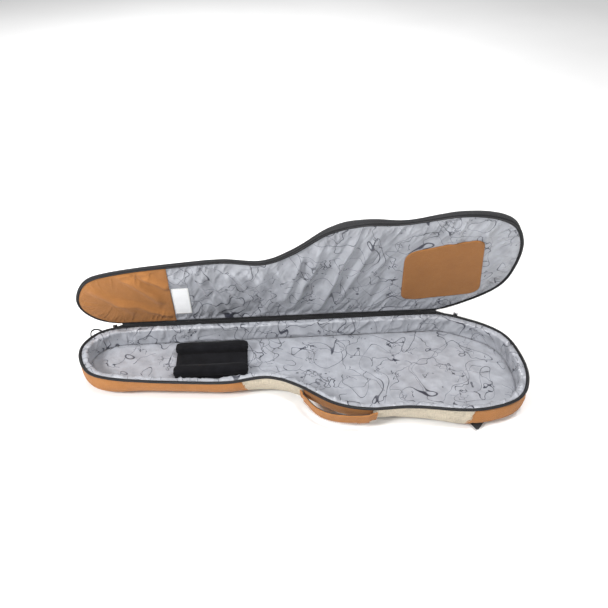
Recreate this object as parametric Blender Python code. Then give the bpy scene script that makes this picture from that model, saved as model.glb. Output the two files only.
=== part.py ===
"""Padded gig bag for a long-scale bass, lying on its back with the lid standing open.

+X runs from the headstock end to the body end, +Y points to the hinged long side and +Z up. The origin is on
the floor, under the spine pad, on the centreline of the instrument. Sizes are in metres and angles in degrees.
The lid and what is sewn to it are modelled closed, and an empty on the hinge axis turns them open.
"""

from math import cos, pi, radians, sin

import bmesh
import bpy
import numpy as np
from mathutils import Matrix, Vector

# Overall sizes
BAG_LENGTH = 1.207
BODY_END_X = 0.603
BODY_WIDTH = 0.387
NECK_WIDTH = 0.242
SPINE_FROM_HINGE = 0.127
TUB_HEIGHT = 0.070
LID_DEPTH = 0.030
LID_OPEN = 76.0

# Where the outline changes, along the bag from the body end
THROAT_FROM_END = 0.698
UPPER_BOUT_FROM_END = 0.438
WAIST_FROM_END = 0.333
LOWER_BOUT_FROM_END = 0.173
WAIST_DEPTH = 0.021
HINGE_FROM_HEAD = 0.114
HINGE_FROM_BODY = 0.203

# Cloth, padding and clearances
SHELL = 0.0025
LINING = 0.0022
WALL_FOAM = 0.014
FLOOR_FOAM = 0.014
GAP = 0.0004
BOTTOM_RADIUS = 0.026
LID_RADIUS = 0.010

# Rim: piping, zip tape and hinge
BINDING_RADIUS = 0.0025
ZIP_TAPE = 0.003
ZIP_THICKNESS = 0.0016
HINGE_OUTSET = 0.003
HINGE_RADIUS = 0.0025
HINGE_TAPE = 0.020

# Pads under the bag
UNDER_PAD = 0.007
NECK_PAD = (0.26, 0.10)
SPINE_PAD = ((-0.020, 0.014), (0.470, 0.050))

# Cloth seams on the front wall, as places along X
NECK_SEAM_X = -0.161
HANDLE_HEAD_X = 0.000
HANDLE_BODY_X = 0.170
BODY_SEAM_X = 0.427

# Neck cradle
CRADLE_HEAD_X = -0.345
CRADLE_LENGTH = 0.203
CRADLE_WIDTH = 0.126
CRADLE_HEIGHT = 0.034
CRADLE_BASE = 0.012
NECK_CHANNEL = 0.058

# Carry handle: how far it stands off the wall at shares of its own length
HANDLE_WIDTH = 0.036
HANDLE_CLOTH = 0.003
HANDLE_LINING = 0.002
HANDLE_STAND_OFF = (
    (0.045, 0.0095), (0.12, 0.014), (0.26, 0.022), (0.38, 0.024), (0.50, 0.022),
    (0.62, 0.018), (0.79, 0.0135), (0.90, 0.0115), (0.955, 0.0095),
)
HANDLE_BELOW_RIM = 0.027
ANCHOR_LENGTH = 0.0065

# Hang loop on the headstock end, as places along the rim from the headstock end of the hinge
LOOP_FROM_HINGE = 0.068
LOOP_SPAN = 0.032
LOOP_REACH = 0.016
LOOP_WIDTH = 0.010
LOOP_THICKNESS = 0.0022

# Zip sliders and pull tabs
SLIDER = (0.013, 0.0050, 0.0085)
PULL = (0.007, 0.0016, 0.030)
HEAD_SLIDER_FROM_HINGE = 0.030
BODY_SLIDER_FROM_HINGE = 0.066

# Shoulder straps and their tabs
STRAP_TOP_X = -0.055
FRONT_STRAP = (-0.036, -19.0)
REAR_STRAP = (0.052, 4.5)
STRAP_PAD = (0.36, 0.058)
STRAP_WEBBING = (0.115, 0.025)
STRAP_THICKNESS = 0.0055
BUCKLE = (0.030, 0.034)
TAB_BASE_X = (0.419, 0.477)
TAB_REACH = 0.012
TAB_THICKNESS = 0.0025
TAB_HEIGHT = 0.003

# Pieces on the lid lining, in the plan of the closed lid
HEAD_PATCH_LENGTH = 0.259
BRIDGE_PATCH = ((0.284, -0.130), (0.489, -0.178), (0.520, 0.050), (0.297, 0.073))
BRIDGE_RADIUS = 0.036
LABEL_SIZE = (0.046, 0.111)
LABEL_FROM_SEAM = 0.003
LABEL_Y = 0.033
PATCH = 0.0012

# Pockets on the outside of the lid
BODY_POCKET_X = (0.060, 0.500)
NECK_POCKET_X = (-0.520, -0.200)
POCKET_INSET = 0.034
POCKET_PANEL = 0.003
POCKET_ZIP = (0.0016, 0.012)
POCKET_FLAP = 0.055

# Mesh fineness
RIM_STEP = 0.026
PIPE_SIDES = 6

# Values that follow from the ones above
HINGE_Y = SPINE_FROM_HINGE
HEAD_END_X = BODY_END_X - BAG_LENGTH
NECK_Y = HINGE_Y - NECK_WIDTH
BODY_Y = HINGE_Y - BODY_WIDTH
TUB_BOTTOM = UNDER_PAD + GAP
RIM_Z = TUB_BOTTOM + TUB_HEIGHT
HALF_GAP = GAP / 2
BINDING_DROP = HALF_GAP + ZIP_TAPE + GAP + BINDING_RADIUS
WALL_DROP = BINDING_DROP + BINDING_RADIUS + GAP
BINDING_INSET = 0.002
LINING_INSET = BINDING_INSET + BINDING_RADIUS + GAP
FLOOR_TOP = TUB_BOTTOM + SHELL + GAP + FLOOR_FOAM + GAP + LINING
LID_TOP = RIM_Z + LID_DEPTH
HINGE_AXIS = Vector((0.0, HINGE_Y + HINGE_OUTSET, RIM_Z))

COLOURS = {
    "tan": ((0.43, 0.21, 0.08), 0.85), "linen": ((0.61, 0.55, 0.45), 0.9), "charcoal": ((0.03, 0.03, 0.032), 0.8),
    "black": ((0.01, 0.01, 0.012), 0.75), "lining": ((0.35, 0.36, 0.41), 0.4), "foam": ((0.09, 0.09, 0.1), 0.95),
    "label": ((0.85, 0.85, 0.85), 0.8), "metal": ((0.25, 0.25, 0.26), 0.35), "buckle": ((0.012, 0.012, 0.012), 0.4),
}


# ---------------------------------------------------------------- curves

def smooth_curve(knots, steps=24):
    """Catmull-Rom curve through the knots, which start and end with one knot that only sets the end's direction."""
    p = np.array(knots, float)
    t = np.linspace(0.0, 1.0, steps, endpoint=False)[:, None]
    pieces = []
    for a, b, c, d in zip(p[:-3], p[1:-2], p[2:-1], p[3:]):
        cubic = 2 * b + (c - a) * t + (2 * a - 5 * b + 4 * c - d) * t**2 + (3 * b - a - 3 * c + d) * t**3
        pieces.append(cubic / 2)
    return np.vstack(pieces + [p[-2:-1]])


def lengths_along(path):
    return np.r_[0.0, np.cumsum(np.hypot(*np.diff(path, axis=0).T))]


def rim_curve():
    """The rim's plan, from the headstock end of the hinge round the front to its body end."""
    head, body = HEAD_END_X, BODY_END_X
    return smooth_curve([
        (head + HINGE_FROM_HEAD + 0.070, HINGE_Y - 0.019),
        (head + HINGE_FROM_HEAD, HINGE_Y),
        (head + 0.044, HINGE_Y - 0.019),
        (head + 0.004, HINGE_Y - 0.070),
        (head + 0.006, NECK_Y + 0.112),
        (head + 0.044, NECK_Y + 0.052),
        (head + 0.124, NECK_Y + 0.024),
        (head + 0.264, NECK_Y + 0.005),
        (body - THROAT_FROM_END - 0.105, NECK_Y - 0.006),
        (body - THROAT_FROM_END, NECK_Y + 0.007),
        (body - THROAT_FROM_END + 0.080, NECK_Y - 0.028),
        (body - UPPER_BOUT_FROM_END - 0.090, BODY_Y + 0.047),
        (body - UPPER_BOUT_FROM_END, BODY_Y + WAIST_DEPTH),
        (body - WAIST_FROM_END, BODY_Y + WAIST_DEPTH),
        (body - LOWER_BOUT_FROM_END, BODY_Y),
        (body - 0.058, BODY_Y + 0.030),
        (body - 0.009, BODY_Y + 0.102),
        (body - 0.001, HINGE_Y - 0.190),
        (body - 0.025, HINGE_Y - 0.102),
        (body - 0.103, HINGE_Y - 0.038),
        (body - HINGE_FROM_BODY, HINGE_Y),
        (body - HINGE_FROM_BODY - 0.100, HINGE_Y - 0.038),
    ])


def inward_normals(path):
    """Unit normals to the left of the direction of travel, which is towards the inside of the bag."""
    tangent = np.gradient(np.asarray(path), axis=0)
    tangent /= np.hypot(*tangent.T)[:, None]
    return np.stack([-tangent[:, 1], tangent[:, 0]], axis=1)


class Rim:
    """The outline as a polyline of stations that every layer shares, so that their clearances hold everywhere."""

    def __init__(self):
        curve = rim_curve()
        at = lengths_along(curve)
        front = np.gradient(curve[:, 0]) > 0
        self.length = at[-1]
        self.front_x, self.front_at = curve[front, 0], at[front]
        seams = [self.at_x(x) for x in (NECK_SEAM_X, HANDLE_HEAD_X, HANDLE_BODY_X, BODY_SEAM_X)]
        self.seams = [0.0, *seams, self.length]
        stations = []
        for start, end in zip(self.seams[:-1], self.seams[1:]):
            count = max(2, int(round((end - start) / RIM_STEP)))
            stations.extend(np.linspace(start, end, count, endpoint=False))
        self.stations = np.array(stations + [self.length])
        normals = inward_normals(curve)
        normals[[0, -1]] = (0.0, -1.0)
        self.points = self.sampled(curve, at, self.stations)
        self.normals = self.sampled(normals, at, self.stations)

    @staticmethod
    def sampled(values, at, wanted):
        return np.stack([np.interp(wanted, at, values[:, k]) for k in (0, 1)], axis=1)

    def at_x(self, x):
        """The length along the rim where its front side passes x."""
        return float(np.interp(x, self.front_x, self.front_at))

    def places(self, wanted):
        """Points and inward normals at lengths along the rim from the headstock end of the hinge."""
        wanted = np.atleast_1d(wanted)
        return self.sampled(self.points, self.stations, wanted), self.sampled(self.normals, self.stations, wanted)

    def run(self, start, end):
        """Points and inward normals at the stations between two lengths, and at both lengths."""
        between = self.stations[(self.stations > start + 1e-4) & (self.stations < end - 1e-4)]
        return self.places(np.r_[start, between, end])

    def loop(self):
        """Points and inward normals of the whole outline, with the straight hinge side."""
        hinge_x = np.linspace(self.points[-1, 0], self.points[0, 0], 5)[1:-1]
        hinge = np.stack([hinge_x, np.full(len(hinge_x), HINGE_Y)], axis=1)
        points = np.vstack([self.points, hinge])
        return points, np.vstack([self.normals, [(0.0, -1.0)] * len(hinge)])


RIM = Rim()


def arc(centre, radius, start, end, steps):
    """Points (inset, z) on an arc, by angles in degrees from the inset axis."""
    angles = np.radians(np.linspace(start, end, steps + 1))
    return [(centre[0] + radius * cos(a), centre[1] + radius * sin(a)) for a in angles]


def rounded_polygon(corners, radius, steps=4):
    """The polygon with each corner replaced by a quadratic curve that starts and ends at the radius from it."""
    corners = [Vector(c) for c in corners]
    points = []
    for before, corner, after in zip(corners[-1:] + corners[:-1], corners, corners[1:] + corners[:1]):
        start = corner + (before - corner).normalized() * radius
        end = corner + (after - corner).normalized() * radius
        for step in range(steps + 1):
            t = step / steps
            points.append(start * (1 - t) ** 2 + corner * (2 * t * (1 - t)) + end * t**2)
    return [(p.x, p.y) for p in points]


# ---------------------------------------------------------------- meshes and objects

def material(name):
    found = bpy.data.materials.get(name)
    if found:
        return found
    colour, roughness = COLOURS[name]
    made = bpy.data.materials.new(name)
    made.use_nodes = True
    shader = made.node_tree.nodes["Principled BSDF"]
    shader.inputs["Base Color"].default_value = (*colour, 1.0)
    shader.inputs["Roughness"].default_value = roughness
    shader.inputs["Metallic"].default_value = 1.0 if name == "metal" else 0.0
    return made


def add_object(name, vertices, faces, slot, parent=None):
    """A mesh object in the bag's own coordinates, whose parent empty, if it has one, moves it from there."""
    mesh = bpy.data.meshes.new(name)
    mesh.from_pydata([tuple(map(float, v)) for v in vertices], [], faces)
    edit = bmesh.new()
    edit.from_mesh(mesh)
    bmesh.ops.recalc_face_normals(edit, faces=edit.faces)
    edit.to_mesh(mesh)
    edit.free()
    mesh.shade_smooth()
    mesh.set_sharp_from_angle(angle=radians(35))
    mesh.materials.append(material(slot))
    made = bpy.data.objects.new(name, mesh)
    bpy.context.scene.collection.objects.link(made)
    if parent:
        made.parent = parent
        made.matrix_parent_inverse = Matrix.Translation(-Vector(parent["modelled_at"]))
    return made


def add_axis(name, place, parent=None, turned=0.0, about="X"):
    """An empty on a joint's axis. Its children are modelled at the same place before it is turned."""
    empty = bpy.data.objects.new(name, None)
    bpy.context.scene.collection.objects.link(empty)
    place = Vector(place)
    empty["modelled_at"] = place
    if parent:
        empty.parent = parent
        empty.location = place - Vector(parent["modelled_at"])
    else:
        empty.location = place
    empty.rotation_euler = Matrix.Rotation(radians(turned), 3, about).to_euler()
    return empty


def sweep(name, points, normals, profile, closed, slot, parent=None):
    """A profile of (inset, z) pairs carried along a plan path."""
    points, normals, profile = np.asarray(points), np.asarray(normals), np.asarray(profile)
    rows, columns = len(points), len(profile)
    plan = points[:, None, :] + normals[:, None, :] * profile[None, :, :1]
    height = np.broadcast_to(profile[None, :, 1:], (rows, columns, 1))
    vertices = np.concatenate([plan, height], axis=2).reshape(-1, 3)
    faces = []
    for i in range(rows if closed else rows - 1):
        for j in range(columns):
            here, there = i * columns, (i + 1) % rows * columns
            following = (j + 1) % columns
            faces.append((here + j, there + j, there + following, here + following))
    if not closed:
        faces.append(tuple(range(columns)))
        faces.append(tuple(range((rows - 1) * columns, rows * columns)))
    return add_object(name, vertices, faces, slot, parent)


def stack(name, rings, slot, parent=None):
    """A solid between flat rings of equally many (x, y, z) points, closed at the first and the last ring."""
    count = len(rings[0])
    vertices = np.vstack(rings)
    faces = [tuple(range(count)), tuple(range((len(rings) - 1) * count, len(rings) * count))]
    for level in range(len(rings) - 1):
        for i in range(count):
            j = (i + 1) % count
            faces.append((level * count + i, level * count + j, (level + 1) * count + j, (level + 1) * count + i))
    return add_object(name, vertices, faces, slot, parent)


def at_height(points, z):
    points = np.asarray(points, float)
    return np.column_stack([points, np.full(len(points), z)])


def plate(name, polygon, bottom, top, slot, parent=None):
    return stack(name, [at_height(polygon, bottom), at_height(polygon, top)], slot, parent)


def pipe(name, centre, closed_loop, slot, parent=None):
    """Piping round the outline, with its centre at (inset, z)."""
    points, normals = closed_loop
    profile = arc(centre, BINDING_RADIUS, 0, 360, PIPE_SIDES)[:-1]
    return sweep(name, points, normals, profile, True, slot, parent)


def block(name, centre, size, slot, parent=None, along=(1.0, 0.0), bevel=0.0):
    """A box with its length along a plan direction, with rounded edges."""
    along = Vector((along[0], along[1], 0.0)).normalized()
    across = Vector((-along.y, along.x, 0.0))
    edit = bmesh.new()
    bmesh.ops.create_cube(edit, size=1.0)
    if bevel:
        bmesh.ops.scale(edit, vec=size, verts=edit.verts)
        bmesh.ops.bevel(edit, geom=edit.edges[:], offset=bevel, segments=1, affect="EDGES")
        bmesh.ops.scale(edit, vec=[1 / s for s in size], verts=edit.verts)
    corners = [v.co.copy() for v in edit.verts]
    faces = [tuple(v.index for v in face.verts) for face in edit.faces]
    edit.free()
    centre = Vector(centre)
    up = Vector((0.0, 0.0, 1.0))
    vertices = [centre + along * (c.x * size[0]) + across * (c.y * size[1]) + up * (c.z * size[2]) for c in corners]
    return add_object(name, vertices, faces, slot, parent)


# ---------------------------------------------------------------- tub

def wall_profile(outset, inner, top, bottom_end):
    """Cross-section of a layer of the tub wall: down its outer face, round the bottom edge and back up inside."""
    centre = (BOTTOM_RADIUS, TUB_BOTTOM + BOTTOM_RADIUS)
    outer = arc(centre, BOTTOM_RADIUS - outset, 180, 180 + bottom_end, 4)
    inside = arc(centre, BOTTOM_RADIUS - inner, 180 + bottom_end, 180, 4)
    return [(outset, top)] + outer + inside + [(inner, top)]


def make_outer_panels():
    """The tub's cloth wall, in the panels that its seams divide."""
    profile = wall_profile(0.0, SHELL, RIM_Z - WALL_DROP, 88)
    panels = (
        ("head_end_panel", "tan"), ("neck_side_panel", "linen"), ("handle_panel", "tan"),
        ("body_side_panel", "linen"), ("body_end_panel", "tan"),
    )
    for (name, slot), start, end in zip(panels, RIM.seams[:-1], RIM.seams[1:]):
        points, normals = RIM.run(start + HALF_GAP, end - HALF_GAP)
        sweep(name, points, normals, profile, False, slot)
    head_x, body_x = RIM.points[0, 0] + HALF_GAP, RIM.points[-1, 0] - HALF_GAP
    points = np.array([(body_x, HINGE_Y), (head_x, HINGE_Y)])
    sweep("hinge_side_panel", points, np.array([(0.0, -1.0)] * 2), profile, False, "tan")


def make_tub_core():
    """Underside cloth, foam floor and wall, and the lining over them."""
    loop, normals = RIM.loop()
    floor_inset = BOTTOM_RADIUS + GAP
    plate("underside_panel", loop + normals * floor_inset, TUB_BOTTOM, TUB_BOTTOM + SHELL, "charcoal")
    foam_inset = SHELL + GAP
    foam_end = foam_inset + WALL_FOAM
    foam_top = RIM_Z - WALL_DROP
    centre_z = TUB_BOTTOM + BOTTOM_RADIUS
    curve = arc((BOTTOM_RADIUS, centre_z), BOTTOM_RADIUS - foam_inset, 180, 224, 2)
    sweep(
        "wall_foam", loop, normals,
        [(foam_inset, foam_top)] + curve + [(foam_end, curve[-1][1]), (foam_end, foam_top)],
        True, "foam",
    )
    slab_bottom = TUB_BOTTOM + SHELL + GAP
    slab_top = slab_bottom + FLOOR_FOAM
    slab = loop + normals * (foam_end + GAP)
    under = BOTTOM_RADIUS - foam_end - GAP
    shoulder = centre_z - ((BOTTOM_RADIUS - SHELL) ** 2 - under**2) ** 0.5 + 4 * GAP
    slab_levels = [
        at_height(loop + normals * floor_inset, slab_bottom), at_height(slab, shoulder),
        at_height(slab, slab_top),
    ]
    stack("floor_foam", slab_levels, "foam")
    lining_end = foam_end + GAP + LINING
    plate("floor_lining", loop + normals * (foam_end + GAP), slab_top + GAP, FLOOR_TOP, "lining")
    cover_z = foam_top + GAP
    sweep(
        "wall_lining", loop, normals,
        [
            (LINING_INSET, cover_z), (LINING_INSET, cover_z + LINING), (lining_end, cover_z + LINING),
            (lining_end, FLOOR_TOP + GAP), (foam_end + GAP, FLOOR_TOP + GAP), (foam_end + GAP, cover_z),
        ],
        True, "lining",
    )


def zip_profile(side):
    """Half of the zip: a thin upright strip on the tub (side -1) or the lid (side +1)."""
    near, far = RIM_Z + side * HALF_GAP, RIM_Z + side * (HALF_GAP + ZIP_TAPE)
    inner = BINDING_INSET + ZIP_THICKNESS / 2
    outer = BINDING_INSET - ZIP_THICKNESS / 2
    return [(outer, near), (outer, far), (inner, far), (inner, near)]


def make_tub_rim():
    pipe("tub_binding", (BINDING_INSET, RIM_Z - BINDING_DROP), RIM.loop(), "black")
    points, normals = RIM.run(0.012, RIM.length - 0.012)
    sweep("tub_zip_tape", points, normals, zip_profile(-1), False, "black")


def make_hinge(lid):
    """Sewn tapes on the tub and on the lid, and the piping cord on the axis between them."""
    head_x, body_x = RIM.points[0, 0] + 0.010, RIM.points[-1, 0] - 0.010
    near = HINGE_RADIUS + GAP
    out = BINDING_RADIUS - BINDING_INSET + GAP
    line = np.array([(body_x, HINGE_Y), (head_x, HINGE_Y)])
    normals = np.array([(0.0, -1.0)] * 2)
    for name, side, parent in (("hinge_tape_tub", -1, None), ("hinge_tape_lid", 1, lid)):
        low, high = RIM_Z + side * near, RIM_Z + side * (near + HINGE_TAPE)
        leaf = [(-out, low), (-out, high), (-out - ZIP_THICKNESS, high), (-out - ZIP_THICKNESS, low)]
        sweep(name, line, normals, leaf, False, "black", parent)
    cord = arc((-HINGE_OUTSET, RIM_Z), HINGE_RADIUS, 0, 360, 8)[:-1]
    sweep("hinge_cord", line, normals, cord, False, "black")


def make_under_pads():
    """Flat padded cloth under the bag: it stands on these."""
    (start_x, start_half), (end_x, end_half) = SPINE_PAD
    spine = [(start_x, -start_half), (end_x, -end_half), (end_x, end_half), (start_x, start_half)]
    plate("spine_pad", rounded_polygon(spine, start_half * 0.6), 0.0, UNDER_PAD, "black")
    length, width = NECK_PAD
    head = HEAD_END_X + 0.105
    middle = (HINGE_Y + NECK_Y) / 2
    neck = [
        (head, middle - width / 2), (head + length, middle - width / 2),
        (head + length, middle + width / 2), (head, middle + width / 2),
    ]
    plate("neck_pad", rounded_polygon(neck, 0.015), 0.0, UNDER_PAD, "black")


def make_cradle():
    """Padded block on the tub floor, with a cheek on each side of the neck."""
    bottom = FLOOR_TOP + GAP
    middle_x = CRADLE_HEAD_X + CRADLE_LENGTH / 2
    base = (CRADLE_LENGTH, CRADLE_WIDTH, CRADLE_BASE)
    block("cradle_base", (middle_x, 0.0, bottom + CRADLE_BASE / 2), base, "black", bevel=0.003)
    cheek = (CRADLE_WIDTH - NECK_CHANNEL) / 2
    height = CRADLE_HEIGHT - CRADLE_BASE - GAP
    middle_z = bottom + CRADLE_BASE + GAP + height / 2
    for name, side in (("cradle_cheek_front", -1), ("cradle_cheek_rear", 1)):
        place = (middle_x, side * (NECK_CHANNEL + cheek) / 2, middle_z)
        block(name, place, (CRADLE_LENGTH, cheek, height), "black", bevel=0.004)


# ---------------------------------------------------------------- handle, loop and zip sliders

def handle_path():
    """The strap's plan path and normals, from its stand-off along the handle's part of the wall."""
    start, end = RIM.at_x(HANDLE_HEAD_X), RIM.at_x(HANDLE_BODY_X)
    share, stand_off = np.array(HANDLE_STAND_OFF).T
    wanted = np.linspace(share[0], share[-1], 17)
    points, normals = RIM.places(start + (end - start) * wanted)
    path = points - normals * np.interp(wanted, share, stand_off)[:, None]
    return path, inward_normals(path)


def make_handle():
    start, end = RIM.at_x(HANDLE_HEAD_X), RIM.at_x(HANDLE_BODY_X)
    centre_z = RIM_Z - HANDLE_BELOW_RIM
    low, high = centre_z - HANDLE_WIDTH / 2, centre_z + HANDLE_WIDTH / 2
    path, normals = handle_path()
    axis = add_axis("handle_axis", (*(path[0] + path[-1]) / 2, centre_z))
    outer, inner = HANDLE_CLOTH, HANDLE_LINING
    cloth = [(-outer, low), (0.0, low), (0.0, high), (-outer, high)]
    sweep("handle_strap", path, normals, cloth, False, "tan", axis)
    facing = [(GAP, low), (GAP + inner, low), (GAP + inner, high), (GAP, high)]
    sweep("handle_lining", path, normals, facing, False, "black", axis)
    reach = HANDLE_STAND_OFF[0][1] - HANDLE_LINING - 4 * GAP
    anchor_low, anchor_high = low + 0.004, high - 0.004
    for name, at in (("handle_anchor_head", start), ("handle_anchor_body", end - ANCHOR_LENGTH)):
        points, normals = RIM.run(at, at + ANCHOR_LENGTH)
        tab = [(-reach, anchor_low), (-GAP, anchor_low), (-GAP, anchor_high), (-reach, anchor_high)]
        sweep(name, points, normals, tab, False, "tan")


def make_hang_loop():
    """A flat webbing arch that stands off the headstock end of the rim."""
    start = LOOP_FROM_HINGE
    points, normals = RIM.places(np.linspace(start, start + LOOP_SPAN, 11))
    middle = (points[0] + points[-1]) / 2
    top = RIM_Z - WALL_DROP
    clear = LOOP_WIDTH / 2
    axis = add_axis("hang_loop_axis", (middle[0], middle[1], top - LOOP_WIDTH / 2))
    share = np.linspace(0.0, 1.0, len(points))
    rise = clear + (LOOP_REACH - clear) * np.sin(pi * share) ** 0.7
    path = points - normals * rise[:, None]
    band = [(-LOOP_THICKNESS, top - LOOP_WIDTH), (0.0, top - LOOP_WIDTH), (0.0, top), (-LOOP_THICKNESS, top)]
    sweep("hang_loop", path, inward_normals(path), band, False, "black", axis)


def make_slider(name, at, direction):
    """A zip slider that rides outside the tub's zip, with a pull tab that hangs from it."""
    (place,), (normal,) = RIM.places(at)
    along = (-normal[1] * direction, normal[0] * direction)
    length, depth, height = SLIDER
    out = BINDING_RADIUS - BINDING_INSET + GAP * 2 + depth / 2
    centre = (place[0] - normal[0] * out, place[1] - normal[1] * out, RIM_Z)
    axis = add_axis(f"{name}_axis", centre)
    block(f"{name}_body", centre, SLIDER, "metal", axis, along, bevel=0.001)
    pull_length, pull_depth, pull_height = PULL
    out += depth / 2 + GAP + pull_depth / 2
    hung = (place[0] - normal[0] * out, place[1] - normal[1] * out)
    pivot_z = RIM_Z - 0.001
    pull_axis = add_axis(f"{name}_pull_axis", (*hung, pivot_z), axis)
    size = (pull_length, pull_depth, pull_height)
    block(f"{name}_pull", (*hung, pivot_z - pull_height / 2 + GAP), size, "black", pull_axis, along, bevel=0.0005)


# ---------------------------------------------------------------- shoulder straps

def plan_strip(start, along, length, width, radius):
    across = Vector((-along.y, along.x))
    end = start + along * length
    half = across * (width / 2)
    corners = [start - half, end - half, end + half, start + half]
    return rounded_polygon([tuple(c) for c in corners], radius)


def make_strap(name, start_y, slope):
    """A stowed shoulder strap: its anchor on the bag, then pad, buckle and webbing, which swing from the anchor."""
    start = Vector((STRAP_TOP_X, start_y))
    along = Vector((cos(radians(slope)), sin(radians(slope))))
    top = UNDER_PAD - GAP
    bottom = top - STRAP_THICKNESS
    anchor_length = 0.030
    anchor = plan_strip(start - along * (anchor_length + STRAP_THICKNESS), along, anchor_length, 0.040, 0.004)
    plate(f"{name}_anchor", anchor, bottom + 0.001, UNDER_PAD, "black")
    axis = add_axis(f"{name}_axis", (start.x, start.y, top - STRAP_THICKNESS / 2))
    length, width = STRAP_PAD
    plate(f"{name}_pad", plan_strip(start, along, length, width, 0.020), bottom, top, "charcoal", axis)
    buckle_length, buckle_width = BUCKLE
    buckle_start = start + along * (length + 0.001)
    buckle = plan_strip(buckle_start, along, buckle_length, buckle_width, 0.004)
    plate(f"{name}_buckle", buckle, bottom, top, "buckle", axis)
    webbing_length, webbing_width = STRAP_WEBBING
    webbing_start = buckle_start + along * (buckle_length + 0.001)
    webbing = plan_strip(webbing_start, along, webbing_length, webbing_width, 0.003)
    plate(f"{name}_webbing", webbing, top - 0.003, top - 0.001, "black", axis)


def make_strap_tab(name, start, end, apex_share):
    """A triangular cloth tab sewn into the bottom seam between two lengths along the rim, pointing out."""
    low, high = TUB_BOTTOM + TAB_HEIGHT, TUB_BOTTOM + TAB_HEIGHT + TAB_THICKNESS
    under = BOTTOM_RADIUS - (high - TUB_BOTTOM)
    inset = BOTTOM_RADIUS - (BOTTOM_RADIUS**2 - under**2) ** 0.5 - 2 * GAP
    points, normals = RIM.run(start, end)
    (place,), (normal,) = RIM.places(start + (end - start) * apex_share)
    outline = np.vstack([(points + normals * inset)[::-1], place - normal * TAB_REACH])
    plate(name, outline, low, high, "black")


# ---------------------------------------------------------------- lid, modelled closed

def make_lid(lid):
    """Charcoal side wall, outer panel, foam and lining of the lid."""
    loop, normals = RIM.loop()
    centre = (LID_RADIUS, LID_TOP - LID_RADIUS)
    outer = arc(centre, LID_RADIUS, 180, 92, 3)
    inner = arc(centre, LID_RADIUS - SHELL, 92, 180, 3)
    side = [(0.0, RIM_Z + WALL_DROP)] + outer + inner + [(SHELL, RIM_Z + WALL_DROP)]
    sweep("lid_gusset", loop, normals, side, True, "charcoal", lid)
    pipe("lid_binding", (BINDING_INSET, RIM_Z + BINDING_DROP), (loop, normals), "black", lid)
    points, run_normals = RIM.run(0.012, RIM.length - 0.012)
    sweep("lid_zip_tape", points, run_normals, zip_profile(1), False, "black", lid)
    panel_inset = LID_RADIUS + GAP
    plate("lid_outer_panel", loop + normals * panel_inset, LID_TOP - SHELL, LID_TOP, "linen", lid)
    lining_bottom = RIM_Z + 0.002
    foam_bottom, foam_top = lining_bottom + LINING + GAP, LID_TOP - SHELL - GAP
    body = loop + normals * LINING_INSET
    crown = loop + normals * panel_inset
    rings = [at_height(body, foam_bottom), at_height(body, LID_TOP - LID_RADIUS), at_height(crown, foam_top)]
    stack("lid_foam", rings, "foam", lid)
    plate("lid_lining", body, lining_bottom, lining_bottom + LINING, "lining", lid)


def cut_outline(inset, from_x, to_x):
    """The part of the inset outline between two places along X, as a polygon."""
    loop, normals = RIM.loop()
    points = loop + normals * inset
    polygon = []
    for a, b in zip(points, np.roll(points, -1, axis=0)):
        if from_x <= a[0] <= to_x:
            polygon.append(tuple(a))
        for edge in (from_x, to_x):
            if (a[0] - edge) * (b[0] - edge) < 0:
                share = (edge - a[0]) / (b[0] - a[0])
                crossing = a + (b - a) * share
                if share > 0.02 and share < 0.98:
                    polygon.append(tuple(crossing))
    return polygon


def make_lid_patches(lid):
    """Reinforcements and a blank label, sewn to the lid's lining."""
    top = RIM_Z + 0.002 - GAP
    seam_x = HEAD_END_X + HEAD_PATCH_LENGTH
    head = cut_outline(LINING_INSET + 0.001, HEAD_END_X, seam_x)
    plate("headstock_patch", head, top - PATCH, top, "tan", lid)
    plate("bridge_patch", rounded_polygon(BRIDGE_PATCH, BRIDGE_RADIUS), top - PATCH, top, "tan", lid)
    length, width = LABEL_SIZE
    start = seam_x + LABEL_FROM_SEAM
    label = [
        (start, LABEL_Y - width / 2), (start + length, LABEL_Y - width / 2),
        (start + length, LABEL_Y + width / 2), (start, LABEL_Y + width / 2),
    ]
    plate("sewn_label", label, top - PATCH / 2, top, "label", lid)


def make_pocket(name, span, lid):
    """A flat pocket on the lid's outer panel: a cloth flap, the zip and the pocket's own panel."""
    bottom = LID_TOP + GAP
    polygon = np.array(cut_outline(POCKET_INSET, *span))
    hinge_edge = polygon[:, 1].max()
    zip_thick, zip_width = POCKET_ZIP
    zip_y = hinge_edge - POCKET_FLAP
    front_part = clip_below(polygon, zip_y - zip_width / 2 - GAP)
    plate(f"{name}_panel", front_part, bottom, bottom + POCKET_PANEL, "tan", lid)
    x_low, x_high = span[0], span[1]
    tape = [
        (x_low, zip_y - zip_width / 2), (x_high, zip_y - zip_width / 2),
        (x_high, zip_y + zip_width / 2), (x_low, zip_y + zip_width / 2),
    ]
    plate(f"{name}_zip", tape, bottom, bottom + zip_thick, "black", lid)
    length, depth, height = SLIDER
    slider_x = x_high - 0.030
    centre_z = bottom + zip_thick + GAP + depth / 2
    axis = add_axis(f"{name}_slider_axis", (slider_x, zip_y, centre_z), lid)
    block(f"{name}_slider", (slider_x, zip_y, centre_z), (length, height, depth), "metal", axis, bevel=0.001)
    pull_width, pull_thick, pull_length = PULL
    pull_z = centre_z + depth / 2 + GAP + pull_thick / 2
    pull_axis = add_axis(f"{name}_pull_axis", (slider_x, zip_y, pull_z), axis)
    pull_size = (pull_width, pull_length, pull_thick)
    pull_centre = (slider_x, zip_y + pull_length / 2 - GAP, pull_z)
    block(f"{name}_pull", pull_centre, pull_size, "black", pull_axis, bevel=0.0005)


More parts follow.
